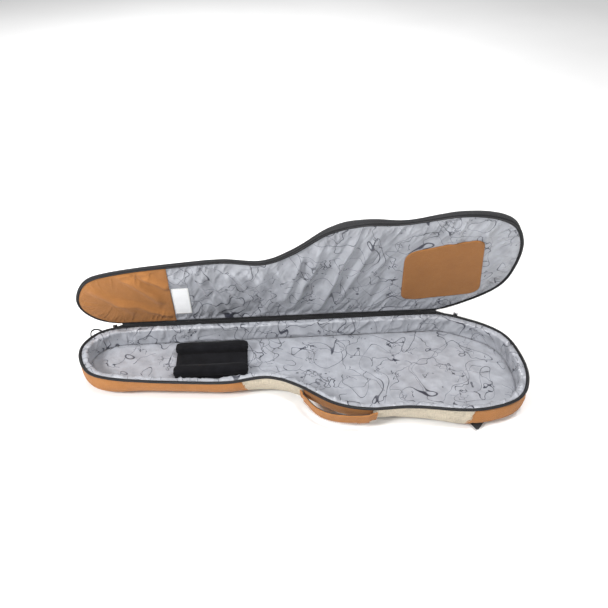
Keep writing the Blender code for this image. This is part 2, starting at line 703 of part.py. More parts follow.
def clip_below(polygon, limit):
    """The part of a polygon whose y is under the limit."""
    kept = []
    for a, b in zip(polygon, np.roll(polygon, -1, axis=0)):
        if a[1] <= limit:
            kept.append(tuple(a))
        if (a[1] - limit) * (b[1] - limit) < 0:
            kept.append(tuple(a + (b - a) * (limit - a[1]) / (b[1] - a[1])))
    return kept


def main():
    for old in list(bpy.data.objects):
        bpy.data.objects.remove(old)
    lid = add_axis("lid_axis", HINGE_AXIS, turned=-LID_OPEN)
    make_outer_panels()
    make_tub_core()
    make_tub_rim()
    make_hinge(lid)
    make_under_pads()
    make_cradle()
    make_handle()
    make_hang_loop()
    make_slider("head_slider", HEAD_SLIDER_FROM_HINGE, 1)
    make_slider("body_slider", RIM.length - BODY_SLIDER_FROM_HINGE, -1)
    make_strap("front_strap", *FRONT_STRAP)
    make_strap("rear_strap", *REAR_STRAP)
    make_strap_tab("strap_tab_front", *(RIM.at_x(x) for x in TAB_BASE_X), 0.28)
    make_strap_tab("strap_tab_rear", RIM.length - 0.190, RIM.length - 0.130, 0.5)
    make_lid(lid)
    make_lid_patches(lid)
    make_pocket("body_pocket", BODY_POCKET_X, lid)
    make_pocket("neck_pocket", NECK_POCKET_X, lid)


main()
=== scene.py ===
"""A padded gig bag for a long-scale bass, lying open: cloth, satin lining, piping, zips and webbing.

Every piece is built round the frame and rides on its bodies. Lengths are in metres and angles in degrees. The
lid's pieces are worked out closed, in the plan of the rim, and then turned open about the hinge.
"""

from math import cos, pi, radians, sin

import bmesh
import bpy
import numpy as np
from bpy.props import FloatProperty, FloatVectorProperty, PointerProperty
from bpy.types import Operator, Panel, PropertyGroup
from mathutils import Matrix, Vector


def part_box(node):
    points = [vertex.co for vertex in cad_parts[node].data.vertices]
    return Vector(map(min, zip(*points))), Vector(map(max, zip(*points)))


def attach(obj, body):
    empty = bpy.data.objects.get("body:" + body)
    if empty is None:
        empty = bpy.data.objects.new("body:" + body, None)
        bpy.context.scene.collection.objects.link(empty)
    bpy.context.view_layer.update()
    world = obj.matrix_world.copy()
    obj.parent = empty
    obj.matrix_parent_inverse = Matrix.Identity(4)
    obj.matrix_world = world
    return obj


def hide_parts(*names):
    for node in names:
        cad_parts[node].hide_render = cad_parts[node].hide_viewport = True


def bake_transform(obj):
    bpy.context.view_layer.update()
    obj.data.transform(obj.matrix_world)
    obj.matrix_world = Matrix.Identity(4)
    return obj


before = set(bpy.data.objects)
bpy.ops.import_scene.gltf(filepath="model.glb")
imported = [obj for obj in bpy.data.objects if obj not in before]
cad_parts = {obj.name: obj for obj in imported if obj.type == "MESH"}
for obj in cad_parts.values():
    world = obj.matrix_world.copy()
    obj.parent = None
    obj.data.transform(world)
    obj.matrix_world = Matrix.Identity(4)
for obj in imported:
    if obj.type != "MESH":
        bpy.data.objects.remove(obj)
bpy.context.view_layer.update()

bl_info = {
    "name": "Padded Gig Bag",
    "version": (1, 0, 0),
    "blender": (4, 5, 0),
    "location": "3D View > Sidebar > Gig Bag",
    "description": "Builds an open padded gig bag with its linings, zips, straps and stage",
    "category": "Add Mesh",
}

# Places taken from the frame. NECK_Y, BODY_Y and SEAM_X are the front side's places and the wall's seams.
LOW, HIGH = 0, 1
RIM_Z = sum(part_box("hinge_cord")[k].z for k in (LOW, HIGH)) / 2
HINGE_PLACE = sum(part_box("hinge_cord")[k].y for k in (LOW, HIGH)) / 2
HINGE_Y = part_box("hinge_side_panel")[HIGH].y
HEAD_X, BODY_X = (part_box("tub_binding")[k].x for k in (LOW, HIGH))
TUB_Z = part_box("underside_panel")[LOW].z
FLOOR_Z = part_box("floor_lining")[HIGH].z
LID_TOP = RIM_Z + 0.030
LID_OPEN = 76.0
NECK_Y = HINGE_Y - 0.242
BODY_Y = HINGE_Y - 0.387
SEAM_X = (-0.161, 0.0, 0.170, 0.427)
BINDING_INSET = 0.002


# ---------------------------------------------------------------- settings

def colour_setting(name, description, default):
    return FloatVectorProperty(
        name=name, description=description, default=default, size=3, min=0, max=1, subtype="COLOR"
    )


def length_setting(name, description, default):
    return FloatProperty(name=name, description=description, default=default, min=0, unit="LENGTH")


class GigBagColours(PropertyGroup):
    tan: colour_setting("Tan canvas", "Colour of the tan panels, patches and handle", (0.405, 0.172, 0.052))
    linen: colour_setting("Linen canvas", "Colour of the light panels", (0.49, 0.43, 0.335))
    charcoal: colour_setting(
        "Charcoal nylon", "Colour of the lid's side wall and the straps", (0.024, 0.024, 0.026)
    )
    black: colour_setting("Black", "Colour of webbing, piping and tapes", (0.0065, 0.0065, 0.008))
    satin: colour_setting("Satin", "Ground colour of the lining", (0.315, 0.325, 0.355))
    ink: colour_setting("Ink", "Colour of the lines printed on the lining", (0.028, 0.03, 0.045))
    label: colour_setting("Label", "Colour of the sewn label", (0.86, 0.87, 0.88))
    thread: colour_setting("Thread", "Colour of the tan stitching", (0.30, 0.14, 0.055))


class GigBagSizes(PropertyGroup):
    pucker: length_setting("Pucker", "Height of the gathers where the lining meets its seam", 0.0085)
    fold: length_setting("Fold", "Height of the long folds in the lining", 0.0106)
    bulge: length_setting("Bulge", "How far the outer wall swells between its seams", 0.0012)
    stitch: length_setting("Stitch", "Length of one stitch", 0.0030)
    tooth: length_setting("Zip tooth", "Spacing of the zip's teeth", 0.0024)
    thread_pitch: length_setting("Thread pitch", "Spacing of the threads in the canvas", 0.0011)


# ---------------------------------------------------------------- curves and noise

def smooth_curve(knots, steps=60):
    """Catmull-Rom curve through the knots. The first and last knot only set the direction at the ends."""
    p = np.array(knots, float)
    t = np.linspace(0.0, 1.0, steps, endpoint=False)[:, None]
    pieces = []
    for a, b, c, d in zip(p[:-3], p[1:-2], p[2:-1], p[3:]):
        cubic = 2 * b + (c - a) * t + (2 * a - 5 * b + 4 * c - d) * t**2 + (3 * b - a - 3 * c + d) * t**3
        pieces.append(cubic / 2)
    return np.vstack(pieces + [p[-2:-1]])


def arc_lengths(path):
    return np.r_[0.0, np.cumsum(np.linalg.norm(np.diff(path, axis=0), axis=1))]


def resampled(path, count):
    """The path's points at even lengths along it."""
    at = arc_lengths(path)
    wanted = np.linspace(0.0, at[-1], count)
    return np.stack([np.interp(wanted, at, path[:, k]) for k in range(path.shape[1])], axis=1)


class Outline:
    """The rim in plan, counter-clockwise from the headstock end of the hinge, with the straight side last."""

    def __init__(self):
        head, body = HEAD_X + 0.0007, BODY_X - 0.0007
        curve = smooth_curve([
            (head + 0.184, HINGE_Y - 0.019), (head + 0.114, HINGE_Y), (head + 0.044, HINGE_Y - 0.019),
            (head + 0.004, HINGE_Y - 0.070), (head + 0.006, NECK_Y + 0.112), (head + 0.044, NECK_Y + 0.052),
            (head + 0.124, NECK_Y + 0.024), (head + 0.264, NECK_Y + 0.005), (body - 0.803, NECK_Y - 0.006),
            (body - 0.698, NECK_Y + 0.007), (body - 0.618, NECK_Y - 0.028), (body - 0.528, BODY_Y + 0.047),
            (body - 0.438, BODY_Y + 0.021), (body - 0.333, BODY_Y + 0.021), (body - 0.173, BODY_Y),
            (body - 0.058, BODY_Y + 0.030), (body - 0.009, BODY_Y + 0.102), (body - 0.001, HINGE_Y - 0.190),
            (body - 0.025, HINGE_Y - 0.102), (body - 0.103, HINGE_Y - 0.038), (body - 0.203, HINGE_Y),
            (body - 0.303, HINGE_Y - 0.038),
        ])
        self.length = arc_lengths(curve)[-1]
        straight = np.linspace(curve[-1], curve[0], 240)[1:]
        ring = np.vstack([curve, straight])
        self.at = arc_lengths(ring)
        self.total = self.at[-1]
        step = np.roll(ring[:-1], -1, axis=0) - np.roll(ring[:-1], 1, axis=0)
        step /= np.linalg.norm(step, axis=1)[:, None]
        normals = np.stack([-step[:, 1], step[:, 0]], axis=1)
        self.ring, self.normals = ring, np.vstack([normals, normals[:1]])
        front = (np.gradient(curve[:, 0]) > 0) & (curve[:, 1] < 0)
        self.front_x, self.front_at = curve[front, 0], self.at[: len(curve)][front]

    def places(self, at):
        """Points and inward normals at lengths along the ring."""
        at = np.mod(np.atleast_1d(at), self.total)
        points = np.stack([np.interp(at, self.at, self.ring[:, k]) for k in (0, 1)], axis=1)
        normals = np.stack([np.interp(at, self.at, self.normals[:, k]) for k in (0, 1)], axis=1)
        return points, normals / np.linalg.norm(normals, axis=1)[:, None]

    def at_x(self, x):
        """The length along the ring where its front side passes x."""
        return float(np.interp(x, self.front_x, self.front_at))

    def nearest(self, x, y):
        """The length along the ring of its point nearest to (x, y)."""
        return float(self.at[np.hypot(self.ring[:, 0] - x, self.ring[:, 1] - y).argmin()])

    def run(self, start, end, step):
        at = np.linspace(start, end, max(2, int(round((end - start) / step)) + 1))
        return at, *self.places(at)

    def loop(self, step):
        at = np.linspace(0.0, self.total, int(round(self.total / step)), endpoint=False)
        return at, *self.places(at)


OUTLINE = Outline()


def eased_along(at, places):
    """A size that changes smoothly along the rim. places are (x on the front side, size) pairs, with the
    headstock end's size before them and the body end's after them."""
    knots = [(0.0, places[0])]
    knots += [(OUTLINE.at_x(x), size) for x, size in places[1:-1]]
    knots += [(OUTLINE.length, places[-1]), (OUTLINE.total, places[0])]
    lengths, sizes = np.array(knots).T
    at = np.mod(at, OUTLINE.total)
    index = np.clip(np.searchsorted(lengths, at, side="right") - 1, 0, len(lengths) - 2)
    t = (at - lengths[index]) / (lengths[index + 1] - lengths[index])
    t = t * t * (3 - 2 * t)
    return sizes[index] * (1 - t) + sizes[index + 1] * t


def hull_inset(at):
    """How far in the tub's rounded bottom edge reaches: the slack neck is rounder than the body."""
    return eased_along(at, (
        0.024, (-0.53, 0.028), (-0.41, 0.052), (-0.28, 0.058), (-0.19, 0.052), (-0.10, 0.038),
        (-0.03, 0.048), (0.09, 0.068), (0.19, 0.058), (0.29, 0.042), (0.42, 0.026), 0.022,
    ))


def hull_rise(at):
    """How high up the wall the rounding starts."""
    return np.minimum(hull_inset(at) * 1.12, RIM_Z - 0.0090 - TUB_Z)


def wall_inset(at, z):
    """Inset of the tub's outer wall at height z: upright above, a quarter ellipse below."""
    across, up = hull_inset(at), hull_rise(at)
    drop = np.clip((TUB_Z + up - z) / up, 0.0, 1.0)
    return across * (1 - np.sqrt(1 - drop**2))


def lid_edge_depth(at):
    """Depth of the lid's side wall: thin at the neck and the waist, full at the two bouts."""
    return eased_along(at, (
        0.0165, (-0.55, 0.0150), (-0.18, 0.0155), (0.02, 0.0200), (0.12, 0.0295), (0.20, 0.0250),
        (0.29, 0.0165), (0.40, 0.0235), (0.56, 0.0290), 0.0200,
    ))


def smooth_step(value, start, end):
    t = np.clip((value - start) / (end - start), 0.0, 1.0)
    return t * t * (3 - 2 * t)


def along_hinge(at, lead=0.0):
    """1 along the rim's straight hinge side and 0 on the rest of it, eased at both ends."""
    start = smooth_step(at, OUTLINE.length - lead, OUTLINE.length + 0.02)
    return start * (1 - smooth_step(at, OUTLINE.total - 0.02, OUTLINE.total))


def lattice_noise(u, v, seed):
    """Smooth noise from -1 to 1: random values on a square lattice, eased between its points."""
    table = np.random.default_rng(seed).uniform(-1.0, 1.0, (64, 64))
    u, v = np.broadcast_arrays(u, v)
    i, j = np.floor(u).astype(int), np.floor(v).astype(int)
    s, t = u - i, v - j
    s, t = (f**3 * (f * (f * 6 - 15) + 10) for f in (s, t))
    a, b = table[i % 64, j % 64], table[(i + 1) % 64, j % 64]
    c, d = table[i % 64, (j + 1) % 64], table[(i + 1) % 64, (j + 1) % 64]
    return (a * (1 - s) + b * s) * (1 - t) + (c * (1 - s) + d * s) * t


def layered_noise(u, v, seed, layers=3):
    """Lattice noise in layers, each half as high and twice as fine as the one before."""
    shares = 0.5 ** np.arange(layers)
    heights = [share * lattice_noise(u / share, v / share, seed + k) for k, share in enumerate(shares)]
    return sum(heights) / shares.sum()


def creased(noise):
    """Turns noise into soft valleys with sharp crests, as in gathered cloth."""
    return 1.0 - 2.0 * np.sqrt(np.abs(noise) + 0.01)


def turned(points, degrees):
    """Places turned about the hinge: (y, z) becomes (y cos - z sin, y sin + z cos) from the hinge's centre."""
    points = np.asarray(points, float)
    c, s = cos(radians(degrees)), sin(radians(degrees))
    y, z = points[..., 1] - HINGE_PLACE, points[..., 2] - RIM_Z
    return np.stack([points[..., 0], y * c - z * s, y * s + z * c], axis=-1) + (0.0, HINGE_PLACE, RIM_Z)


def closed_box(node):
    """A lid node's lowest and highest corner on the closed lid."""
    back = turned([v.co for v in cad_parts[node].data.vertices], LID_OPEN)
    return back.min(axis=0), back.max(axis=0)


LABEL_AREA = closed_box("sewn_label")


def opened(points):
    """Places worked out on the closed lid, turned open about the hinge."""
    return turned(points, -LID_OPEN)


def way(*direction):
    """A direction on the closed lid, turned open with it."""
    return opened(direction) - opened((0.0, 0.0, 0.0))


# ---------------------------------------------------------------- meshes

def finish_mesh(name, points, faces, corner_uv, finish, sharp=40.0):
    """A mesh object at the origin from points, face index arrays (n x corners) and UVs in metres."""
    mesh = bpy.data.meshes.new(name)
    corners = np.concatenate([f.ravel() for f in faces])
    sizes = np.concatenate([np.full(len(f), f.shape[1]) for f in faces])
    mesh.vertices.add(len(points))
    mesh.vertices.foreach_set("co", np.ascontiguousarray(points, np.float32).ravel())
    mesh.loops.add(len(corners))
    mesh.loops.foreach_set("vertex_index", corners.astype(np.int32))
    mesh.polygons.add(len(sizes))
    mesh.polygons.foreach_set("loop_start", np.r_[0, np.cumsum(sizes)[:-1]].astype(np.int32))
    mesh.update(calc_edges=True)
    layer = mesh.uv_layers.new(name="Cloth")
    uv = np.zeros((len(corners), 2), np.float32)
    uv[: len(corner_uv)] = corner_uv
    layer.data.foreach_set("uv", uv.ravel())
    mesh.shade_smooth()
    mesh.set_sharp_from_angle(angle=radians(sharp))
    mesh.validate()
    mesh.materials.append(finish)
    made = bpy.data.objects.new(name, mesh)
    bpy.context.scene.collection.objects.link(made)
    return made


def surface(name, grid, finish, uv=None, wrap=(False, False), caps=False, flip=False, solid=0.0, sharp=40.0):
    """A grid of points as a surface. wrap joins its last row or column to its first, caps closes a tube's
    ends, flip turns its faces over and solid thickens it away from its faces."""
    rows, columns = grid.shape[:2]
    i = np.arange(rows if wrap[0] else rows - 1)[:, None]
    j = np.arange(columns if wrap[1] else columns - 1)[None, :]
    steps = [(0, 0), (1, 0), (1, 1), (0, 1)]
    if flip:
        steps.reverse()
    quads = np.stack([(i + a) % rows * columns + (j + b) % columns for a, b in steps], axis=-1).reshape(-1, 4)
    if uv is None:
        uv = metric_uv(grid, wrap)
    corner_uv = np.stack([uv[i + a, j + b] for a, b in steps], axis=2).reshape(-1, 2)
    faces = [quads]
    if caps:
        first = np.arange(columns)[None, :]
        last = first + (rows - 1) * columns
        faces += [first, last[:, ::-1]] if not flip else [first[:, ::-1], last]
    made = finish_mesh(name, grid.reshape(-1, 3), faces, corner_uv, finish, sharp)
    if solid:
        thicken(made, solid)
    return made


def metric_uv(grid, wrap):
    """UVs in metres: the middle row's and the middle column's lengths."""
    rows, columns = grid.shape[:2]
    down, across = grid[:, columns // 2], grid[rows // 2]
    if wrap[0]:
        down = np.vstack([down, down[:1]])
    if wrap[1]:
        across = np.vstack([across, across[:1]])
    u, v = arc_lengths(down), arc_lengths(across)
    return np.stack(np.meshgrid(u, v, indexing="ij"), axis=-1)


def thicken(made, thickness):
    solid = made.modifiers.new("Cloth thickness", "SOLIDIFY")
    solid.thickness = thickness
    solid.offset = -1.0
    solid.use_even_offset = False


def turned_out(made, closed=True):
    """Merges the points that a pole shares, and turns a closed mesh's faces out."""
    edit = bmesh.new()
    edit.from_mesh(made.data)
    bmesh.ops.remove_doubles(edit, verts=edit.verts, dist=1e-6)
    if closed:
        bmesh.ops.recalc_face_normals(edit, faces=edit.faces)
    edit.to_mesh(made.data)
    edit.free()
    return made


def carried(points, normals, profile):
    """A profile of (inset, z) pairs, one for all places or one for each, carried along a plan path."""
    profile = np.broadcast_to(profile, (len(points), *np.shape(profile)[-2:]))
    plan = points[:, None, :] + normals[:, None, :] * profile[..., :1]
    return np.concatenate([plan, profile[..., 1:]], axis=2)


def ring_profile(inset, z, radius, sides=12, width=1.0):
    """A closed (inset, z) circle, or an ellipse that is width times as wide."""
    angle = np.linspace(0, 2 * pi, sides, endpoint=False)
    return np.stack([inset + radius * width * np.cos(angle), z + radius * np.sin(angle)], axis=1)


def arc_profile(inset, z, radius, start, end, steps):
    angle = np.radians(np.linspace(start, end, steps + 1))
    return np.stack([inset + radius * np.cos(angle), z + radius * np.sin(angle)], axis=1)


def tube(name, path, radius, finish, sides=10, closed=False, flatten=1.0, ups=None):
    """A tube along a 3-D path: at each point an ellipse in the plane across the path."""
    path = np.asarray(path, float)
    if closed:
        along = np.roll(path, -1, axis=0) - np.roll(path, 1, axis=0)
    else:
        along = np.gradient(path, axis=0)
    along /= np.linalg.norm(along, axis=1)[:, None]
    up = np.array((0.0, 0.0, 1.0)) if ups is None else np.asarray(ups, float)
    side = np.cross(along, np.broadcast_to(up, along.shape))
    side /= np.maximum(np.linalg.norm(side, axis=1)[:, None], 1e-9)
    over = np.cross(side, along)
    angle = np.linspace(0, 2 * pi, sides, endpoint=False)
    radius = np.broadcast_to(radius, len(path))[:, None, None]
    ring = side[:, None] * np.cos(angle)[None, :, None] * flatten
    ring = ring + over[:, None] * np.sin(angle)[None, :, None]
    grid = path[:, None] + ring * radius
    return turned_out(surface(name, grid, finish, wrap=(closed, True), caps=not closed, sharp=80))


def ribbon(name, path, face, width, thickness, finish, rounding=0.35, edges=9):
    """A flat band along a 3-D path. face is the way its broad side looks at each point. The section is a
    superellipse, so its edges are soft."""
    path = np.asarray(path, float)
    face = np.broadcast_to(np.asarray(face, float), path.shape)
    along = np.gradient(path, axis=0)
    along /= np.linalg.norm(along, axis=1)[:, None]
    across = np.cross(along, face)
    across /= np.linalg.norm(across, axis=1)[:, None]
    out = np.cross(across, along)
    angle = np.linspace(0, 2 * pi, 4 * edges, endpoint=False)
    c, s = np.cos(angle), np.sin(angle)
    wide = np.sign(c) * np.abs(c) ** rounding * width / 2
    thick = np.sign(s) * np.abs(s) ** rounding * thickness / 2
    grid = path[:, None] + across[:, None] * wide[None, :, None] + out[:, None] * thick[None, :, None]
    u = arc_lengths(path)
    v = np.r_[wide, wide[:1]]
    uv = np.stack(np.meshgrid(u, v, indexing="ij"), axis=-1)
    return turned_out(surface(name, grid, finish, uv=uv, wrap=(False, True), caps=True, sharp=60))


def rounded_polygon(corners, radius, spacing=0.004):
    """A polygon with each corner replaced by a quadratic curve, as an even closed row of points."""
    corners = np.array(corners, float)
    before, after = np.roll(corners, 1, axis=0), np.roll(corners, -1, axis=0)
    t = np.linspace(0, 1, 9)[:, None]
    pieces = []
    for a, b, c in zip(before, corners, after):
        start = b + (a - b) / np.linalg.norm(a - b) * radius
        end = b + (c - b) / np.linalg.norm(c - b) * radius
        pieces.append(start * (1 - t) ** 2 + b * 2 * t * (1 - t) + end * t**2)
    ring = np.vstack(pieces + [pieces[0][:1]])
    return resampled(ring, max(24, int(arc_lengths(ring)[-1] / spacing)) + 1)[:-1]


def cushion_grid(outline, low, high, square=0.5, crown=0.0, rings=26):
    """A crowned closed form: the outline drawn in towards its middle from its widest height, as a
    superellipse both above and below. square 1 is a lens and 0.2 nearly a box."""
    outline = np.asarray(outline, float)
    centre = outline.mean(axis=0)
    angle = np.linspace(-pi / 2, pi / 2, rings)
    reach = np.abs(np.cos(angle)) ** square
    reach[[0, -1]] = 0.0
    rise = np.sign(np.sin(angle)) * np.abs(np.sin(angle)) ** square
    plan = centre + (outline - centre)[None] * reach[:, None, None]
    middle, half = (low + high) / 2, (high - low) / 2
    z = middle + rise * half + crown * (1 - reach**2) * (angle > 0)
    return np.concatenate([plan, np.broadcast_to(z[:, None, None], (*plan.shape[:2], 1))], axis=2)


def cushion(name, outline, low, high, finish, square=0.5, crown=0.0):
    grid = cushion_grid(outline, low, high, square, crown)
    uv = np.concatenate([grid, grid[:, :1]], axis=1)[..., :2]
    return turned_out(surface(name, grid, finish, uv=uv, wrap=(False, True), sharp=70))


# The padded cover's simulation: face size, pressure, stiffness, frames and the furthest that a point may move
COVER_FACE = 0.0035
COVER_PRESSURE = 4.0
COVER_STIFFNESS = 12.0
COVER_FRAMES = 20
COVER_REACH = 0.0022


def plumped(made):
    """The padded piece after its cover has been blown up a little by cloth simulation, each point capped."""
    scene = bpy.context.scene
    remesh = made.modifiers.new("Even faces", "REMESH")
    remesh.mode, remesh.voxel_size = "VOXEL", COVER_FACE
    settle(made)
    start = points_of(made)
    cloth = made.modifiers.new("Cloth", "CLOTH")
    cloth.settings.use_pressure = True
    cloth.settings.uniform_pressure_force = COVER_PRESSURE
    cloth.settings.tension_stiffness = cloth.settings.compression_stiffness = COVER_STIFFNESS
    cloth.settings.quality = 5
    cloth.settings.effector_weights.gravity = 0.0
    cloth.point_cache.frame_start, cloth.point_cache.frame_end = 1, COVER_FRAMES
    for step in range(1, COVER_FRAMES + 1):
        scene.frame_set(step)
    settle(made)
    scene.frame_set(1)
    moved = points_of(made) - start
    size = np.linalg.norm(moved, axis=1)[:, None]
    points = start + moved * np.minimum(1.0, COVER_REACH / np.maximum(size, 1e-9))
    made.data.vertices.foreach_set("co", points.astype(np.float32).ravel())
    finer = made.modifiers.new("Smooth cover", "SUBSURF")
    finer.levels = finer.render_levels = 1
    settle(made)
    made.data.shade_smooth()
    return made


def points_of(made):
    points = np.zeros(len(made.data.vertices) * 3, np.float32)
    made.data.vertices.foreach_get("co", points)
    return points.reshape(-1, 3).astype(float)


def settle(made):
    """Replaces the mesh by what its modifiers make of it, and removes them."""
    graph = bpy.context.evaluated_depsgraph_get()
    graph.update()
    old = made.data
    finishes = list(old.materials)
    made.data = bpy.data.meshes.new_from_object(made.evaluated_get(graph))
    made.modifiers.clear()
    made.data.materials.clear()
    for finish in finishes:
        made.data.materials.append(finish)
    bpy.data.meshes.remove(old)


STITCH_GAP = 0.0016
STITCH_RADIUS = 0.00042


def stitch_row(name, path, outward, finish):
    """Short raised threads in a row along a 3-D path: each a six-sided spindle that dips at both ends."""
    path = np.asarray(path, float)
    length, radius = bpy.context.scene.gig_bag_sizes.stitch, STITCH_RADIUS
    count = max(1, int(arc_lengths(path)[-1] / (length + STITCH_GAP)))
    ends = resampled(path, 2 * count + 1)
    middle, along = ends[1::2], ends[2::2] - ends[:-1:2]
    along /= np.linalg.norm(along, axis=1)[:, None]
    outward = np.broadcast_to(np.asarray(outward, float), path.shape)
    outward = resampled(outward, 2 * count + 1)[1::2]
    outward /= np.linalg.norm(outward, axis=1)[:, None]
    side = np.cross(along, outward)
    t = np.array([-1.0, -0.75, 0.0, 0.75, 1.0])
    swell = np.array([0.25, 0.9, 1.0, 0.9, 0.25])
    rise = np.array([-0.6, 0.35, 0.7, 0.35, -0.6])
    angle = np.linspace(0, 2 * pi, 6, endpoint=False)
    round_ = side[:, None, None] * np.cos(angle)[None, None, :, None]
    round_ = round_ + outward[:, None, None] * np.sin(angle)[None, None, :, None]
    spine = middle[:, None] + along[:, None] * (t * length / 2)[None, :, None]
    spine = spine + outward[:, None] * (rise * radius)[None, :, None]
    grid = spine[:, :, None] + round_ * (swell * radius)[None, :, None, None]
    i, j = np.arange(4)[:, None], np.arange(6)[None, :]
    one = np.stack([i * 6 + j, i * 6 + (j + 1) % 6, (i + 1) * 6 + (j + 1) % 6, (i + 1) * 6 + j], axis=-1)
    base = (np.arange(count) * 30)[:, None, None]
    sides = (one.reshape(1, -1, 4) + base).reshape(-1, 4)
    lids = np.stack([np.arange(6)[::-1], 24 + np.arange(6)])[None] + base
    made = finish_mesh(name, grid.reshape(-1, 3), [sides, lids.reshape(-1, 6)], np.zeros((0, 2)), finish)
    return turned_out(made)


def joined(name, pieces):
    """Several pieces as one object."""
    edit = bmesh.new()
    for piece in pieces:
        edit.from_mesh(piece.data)
    mesh = pieces[0].data.copy()
    edit.to_mesh(mesh)
    edit.free()
    mesh.name = name
    for piece in pieces:
        bpy.data.objects.remove(piece)
    made = bpy.data.objects.new(name, mesh)
    bpy.context.scene.collection.objects.link(made)
    return made


def belongs(made, body, slot, *nodes):
    """The piece rides on the body and stands for the frame's nodes. slot is not used."""
    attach(made, body)
    if nodes:
        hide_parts(*nodes)
    return made


def sewn(name, path, outward, thread, body, slot):
    """A row of stitches that rides on the body."""
    return belongs(stitch_row(name, path, outward, finish(thread)), body, slot)


def plan_corners(node):
    low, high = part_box(node)
    return (low.x, low.y), (high.x, low.y), (high.x, high.y), (low.x, high.y)


def piped(name, outline, z, radius, body):
    """Piping round a padded piece's outline."""
    edge = np.column_stack([outline, np.full(len(outline), z)])
    return belongs(tube(name, edge, radius, finish("Black piping"), 8, closed=True), body, "black")


def round_rim(name, rim, profile, cloth, place, body, *nodes, closed=False):
    """A closed profile carried along the rim's points, round the whole of it or from one end to the other."""
    ends = {"wrap": (True, True), "sharp": 80} if closed else {"wrap": (False, True), "caps": True}
    made = surface(name, place(carried(*rim, profile)), finish(cloth), **ends)
    return belongs(turned_out(made), body, "black", *nodes)


def plan_cloth(name, x, y, grid, cloth, owner, rests_on, share, held="stretched", **how):
    """A sheet cut to a shape in plan. Its flat size is the plan's box. share is not used."""
    made = surface(name, grid, finish(cloth), uv=np.stack([x, y], axis=-1), **how)
    belongs(made, *owner)
    return made


# ---------------------------------------------------------------- cloth heights

def edge_distance(x, y, inset):
    """Distance from each place to the inset outline, and how far along the outline its nearest point is."""
    _, points, normals = OUTLINE.loop(0.004)
    at = np.linspace(0.0, OUTLINE.total, len(points), endpoint=False)
    ring = points + normals * inset
    flat_x, flat_y = x.ravel(), y.ravel()
    distance, nearest = np.empty(flat_x.size), np.empty(flat_x.size)
    for start in range(0, flat_x.size, 4000):
        part = slice(start, start + 4000)
        gaps = np.hypot(flat_x[part, None] - ring[None, :, 0], flat_y[part, None] - ring[None, :, 1])
        index = gaps.argmin(axis=1)
        distance[part], nearest[part] = gaps[np.arange(len(index)), index], at[index]
    return distance.reshape(x.shape), nearest.reshape(x.shape)


def plan_sheet(inset, step, x_range=None):
    """Places that fill the inset outline: columns across it at each x, closer together at its two ends."""
    at, points, normals = OUTLINE.loop(0.003)
    depth = inset(at)[:, None] if callable(inset) else inset
    ring = points + normals * depth
    head, body = ring[:, 0].argmin(), ring[:, 0].argmax()
    front = ring[head : body + 1]
    back = np.vstack([ring[body:], ring[: head + 1]])[::-1]
    low, high = ring[head, 0] + 1e-4, ring[body, 0] - 1e-4
    t = np.linspace(0.0, 1.0, int((high - low) / step) + 1)
    bunched = 0.35 * (1 - np.cos(pi * t)) / 2 + 0.65 * t
    x = low + (high - low) * bunched
    if x_range:
        x = np.linspace(max(x_range[0], low), min(x_range[1], high), int((x_range[1] - x_range[0]) / step))
    front_y = np.interp(x, front[:, 0], front[:, 1])
    back_y = np.interp(x, np.maximum.accumulate(back[:, 0]), back[:, 1])
    v = np.linspace(0.0, 1.0, int((back_y - front_y).max() / step))
    y = front_y[:, None] + (back_y - front_y)[:, None] * v[None]
    return np.broadcast_to(x[:, None], y.shape).copy(), y


# Long folds across the lid's lining: from, to, half width and height as a share of the fold setting
LID_FOLDS = (
    ((-0.105, -0.085), (-0.060, 0.050), 0.009, 0.8), ((-0.165, -0.085), (-0.110, 0.060), 0.009, 0.9),
    ((-0.240, -0.085), (-0.185, 0.070), 0.009, 0.8), ((0.020, -0.130), (-0.045, 0.060), 0.009, 0.7),
    ((0.060, -0.165), (-0.010, 0.090), 0.012, 1.3), ((0.145, -0.190), (0.055, 0.100), 0.010, 1.5),
    ((0.205, -0.195), (0.120, 0.060), 0.011, 0.9), ((0.250, -0.150), (0.225, 0.070), 0.015, -0.8),
    ((-0.050, -0.080), (-0.020, 0.080), 0.012, 1.0), ((-0.130, -0.080), (-0.075, 0.090), 0.012, 1.1),
    ((-0.200, -0.080), (-0.150, 0.080), 0.010, 0.9), ((-0.275, -0.080), (-0.215, 0.095), 0.010, 1.0),
    ((-0.325, -0.070), (-0.285, 0.060), 0.009, 0.6), ((0.010, -0.110), (0.025, 0.020), 0.010, -0.8),
    ((0.420, -0.230), (0.400, -0.150), 0.010, 0.7), ((0.470, -0.235), (0.500, -0.140), 0.010, 0.6),
)
PATCH_FOLDS = (
    ((-0.470, -0.085), (-0.365, 0.030), 0.014, 1.0), ((-0.420, -0.085), (-0.345, -0.020), 0.010, 0.9),
    ((-0.560, -0.030), (-0.440, 0.075), 0.015, 0.7), ((-0.500, 0.020), (-0.350, 0.095), 0.012, 0.6),
)
BRIDGE_CORNERS = ((0.284, -0.130), (0.489, -0.178), (0.520, 0.050), (0.297, 0.073))


def fold_lines(x, y, folds):
    """Soft ridges along straight lines in plan, each fading out towards its two ends."""
    height = np.zeros_like(x)
    for start, end, width, share in folds:
        start, end = np.array(start), np.array(end)
        along = end - start
        length = np.hypot(*along)
        along /= length
        t = ((x - start[0]) * along[0] + (y - start[1]) * along[1]) / length
        off = -(x - start[0]) * along[1] + (y - start[1]) * along[0]
        off = off + 0.006 * lattice_noise(t * 3.0, np.full_like(t, width * 900), 5)
        fade = smooth_step(t, -0.12, 0.15) * (1 - smooth_step(t, 0.80, 1.12))
        height += share * fade * np.exp(-((off / width) ** 2))
    return height


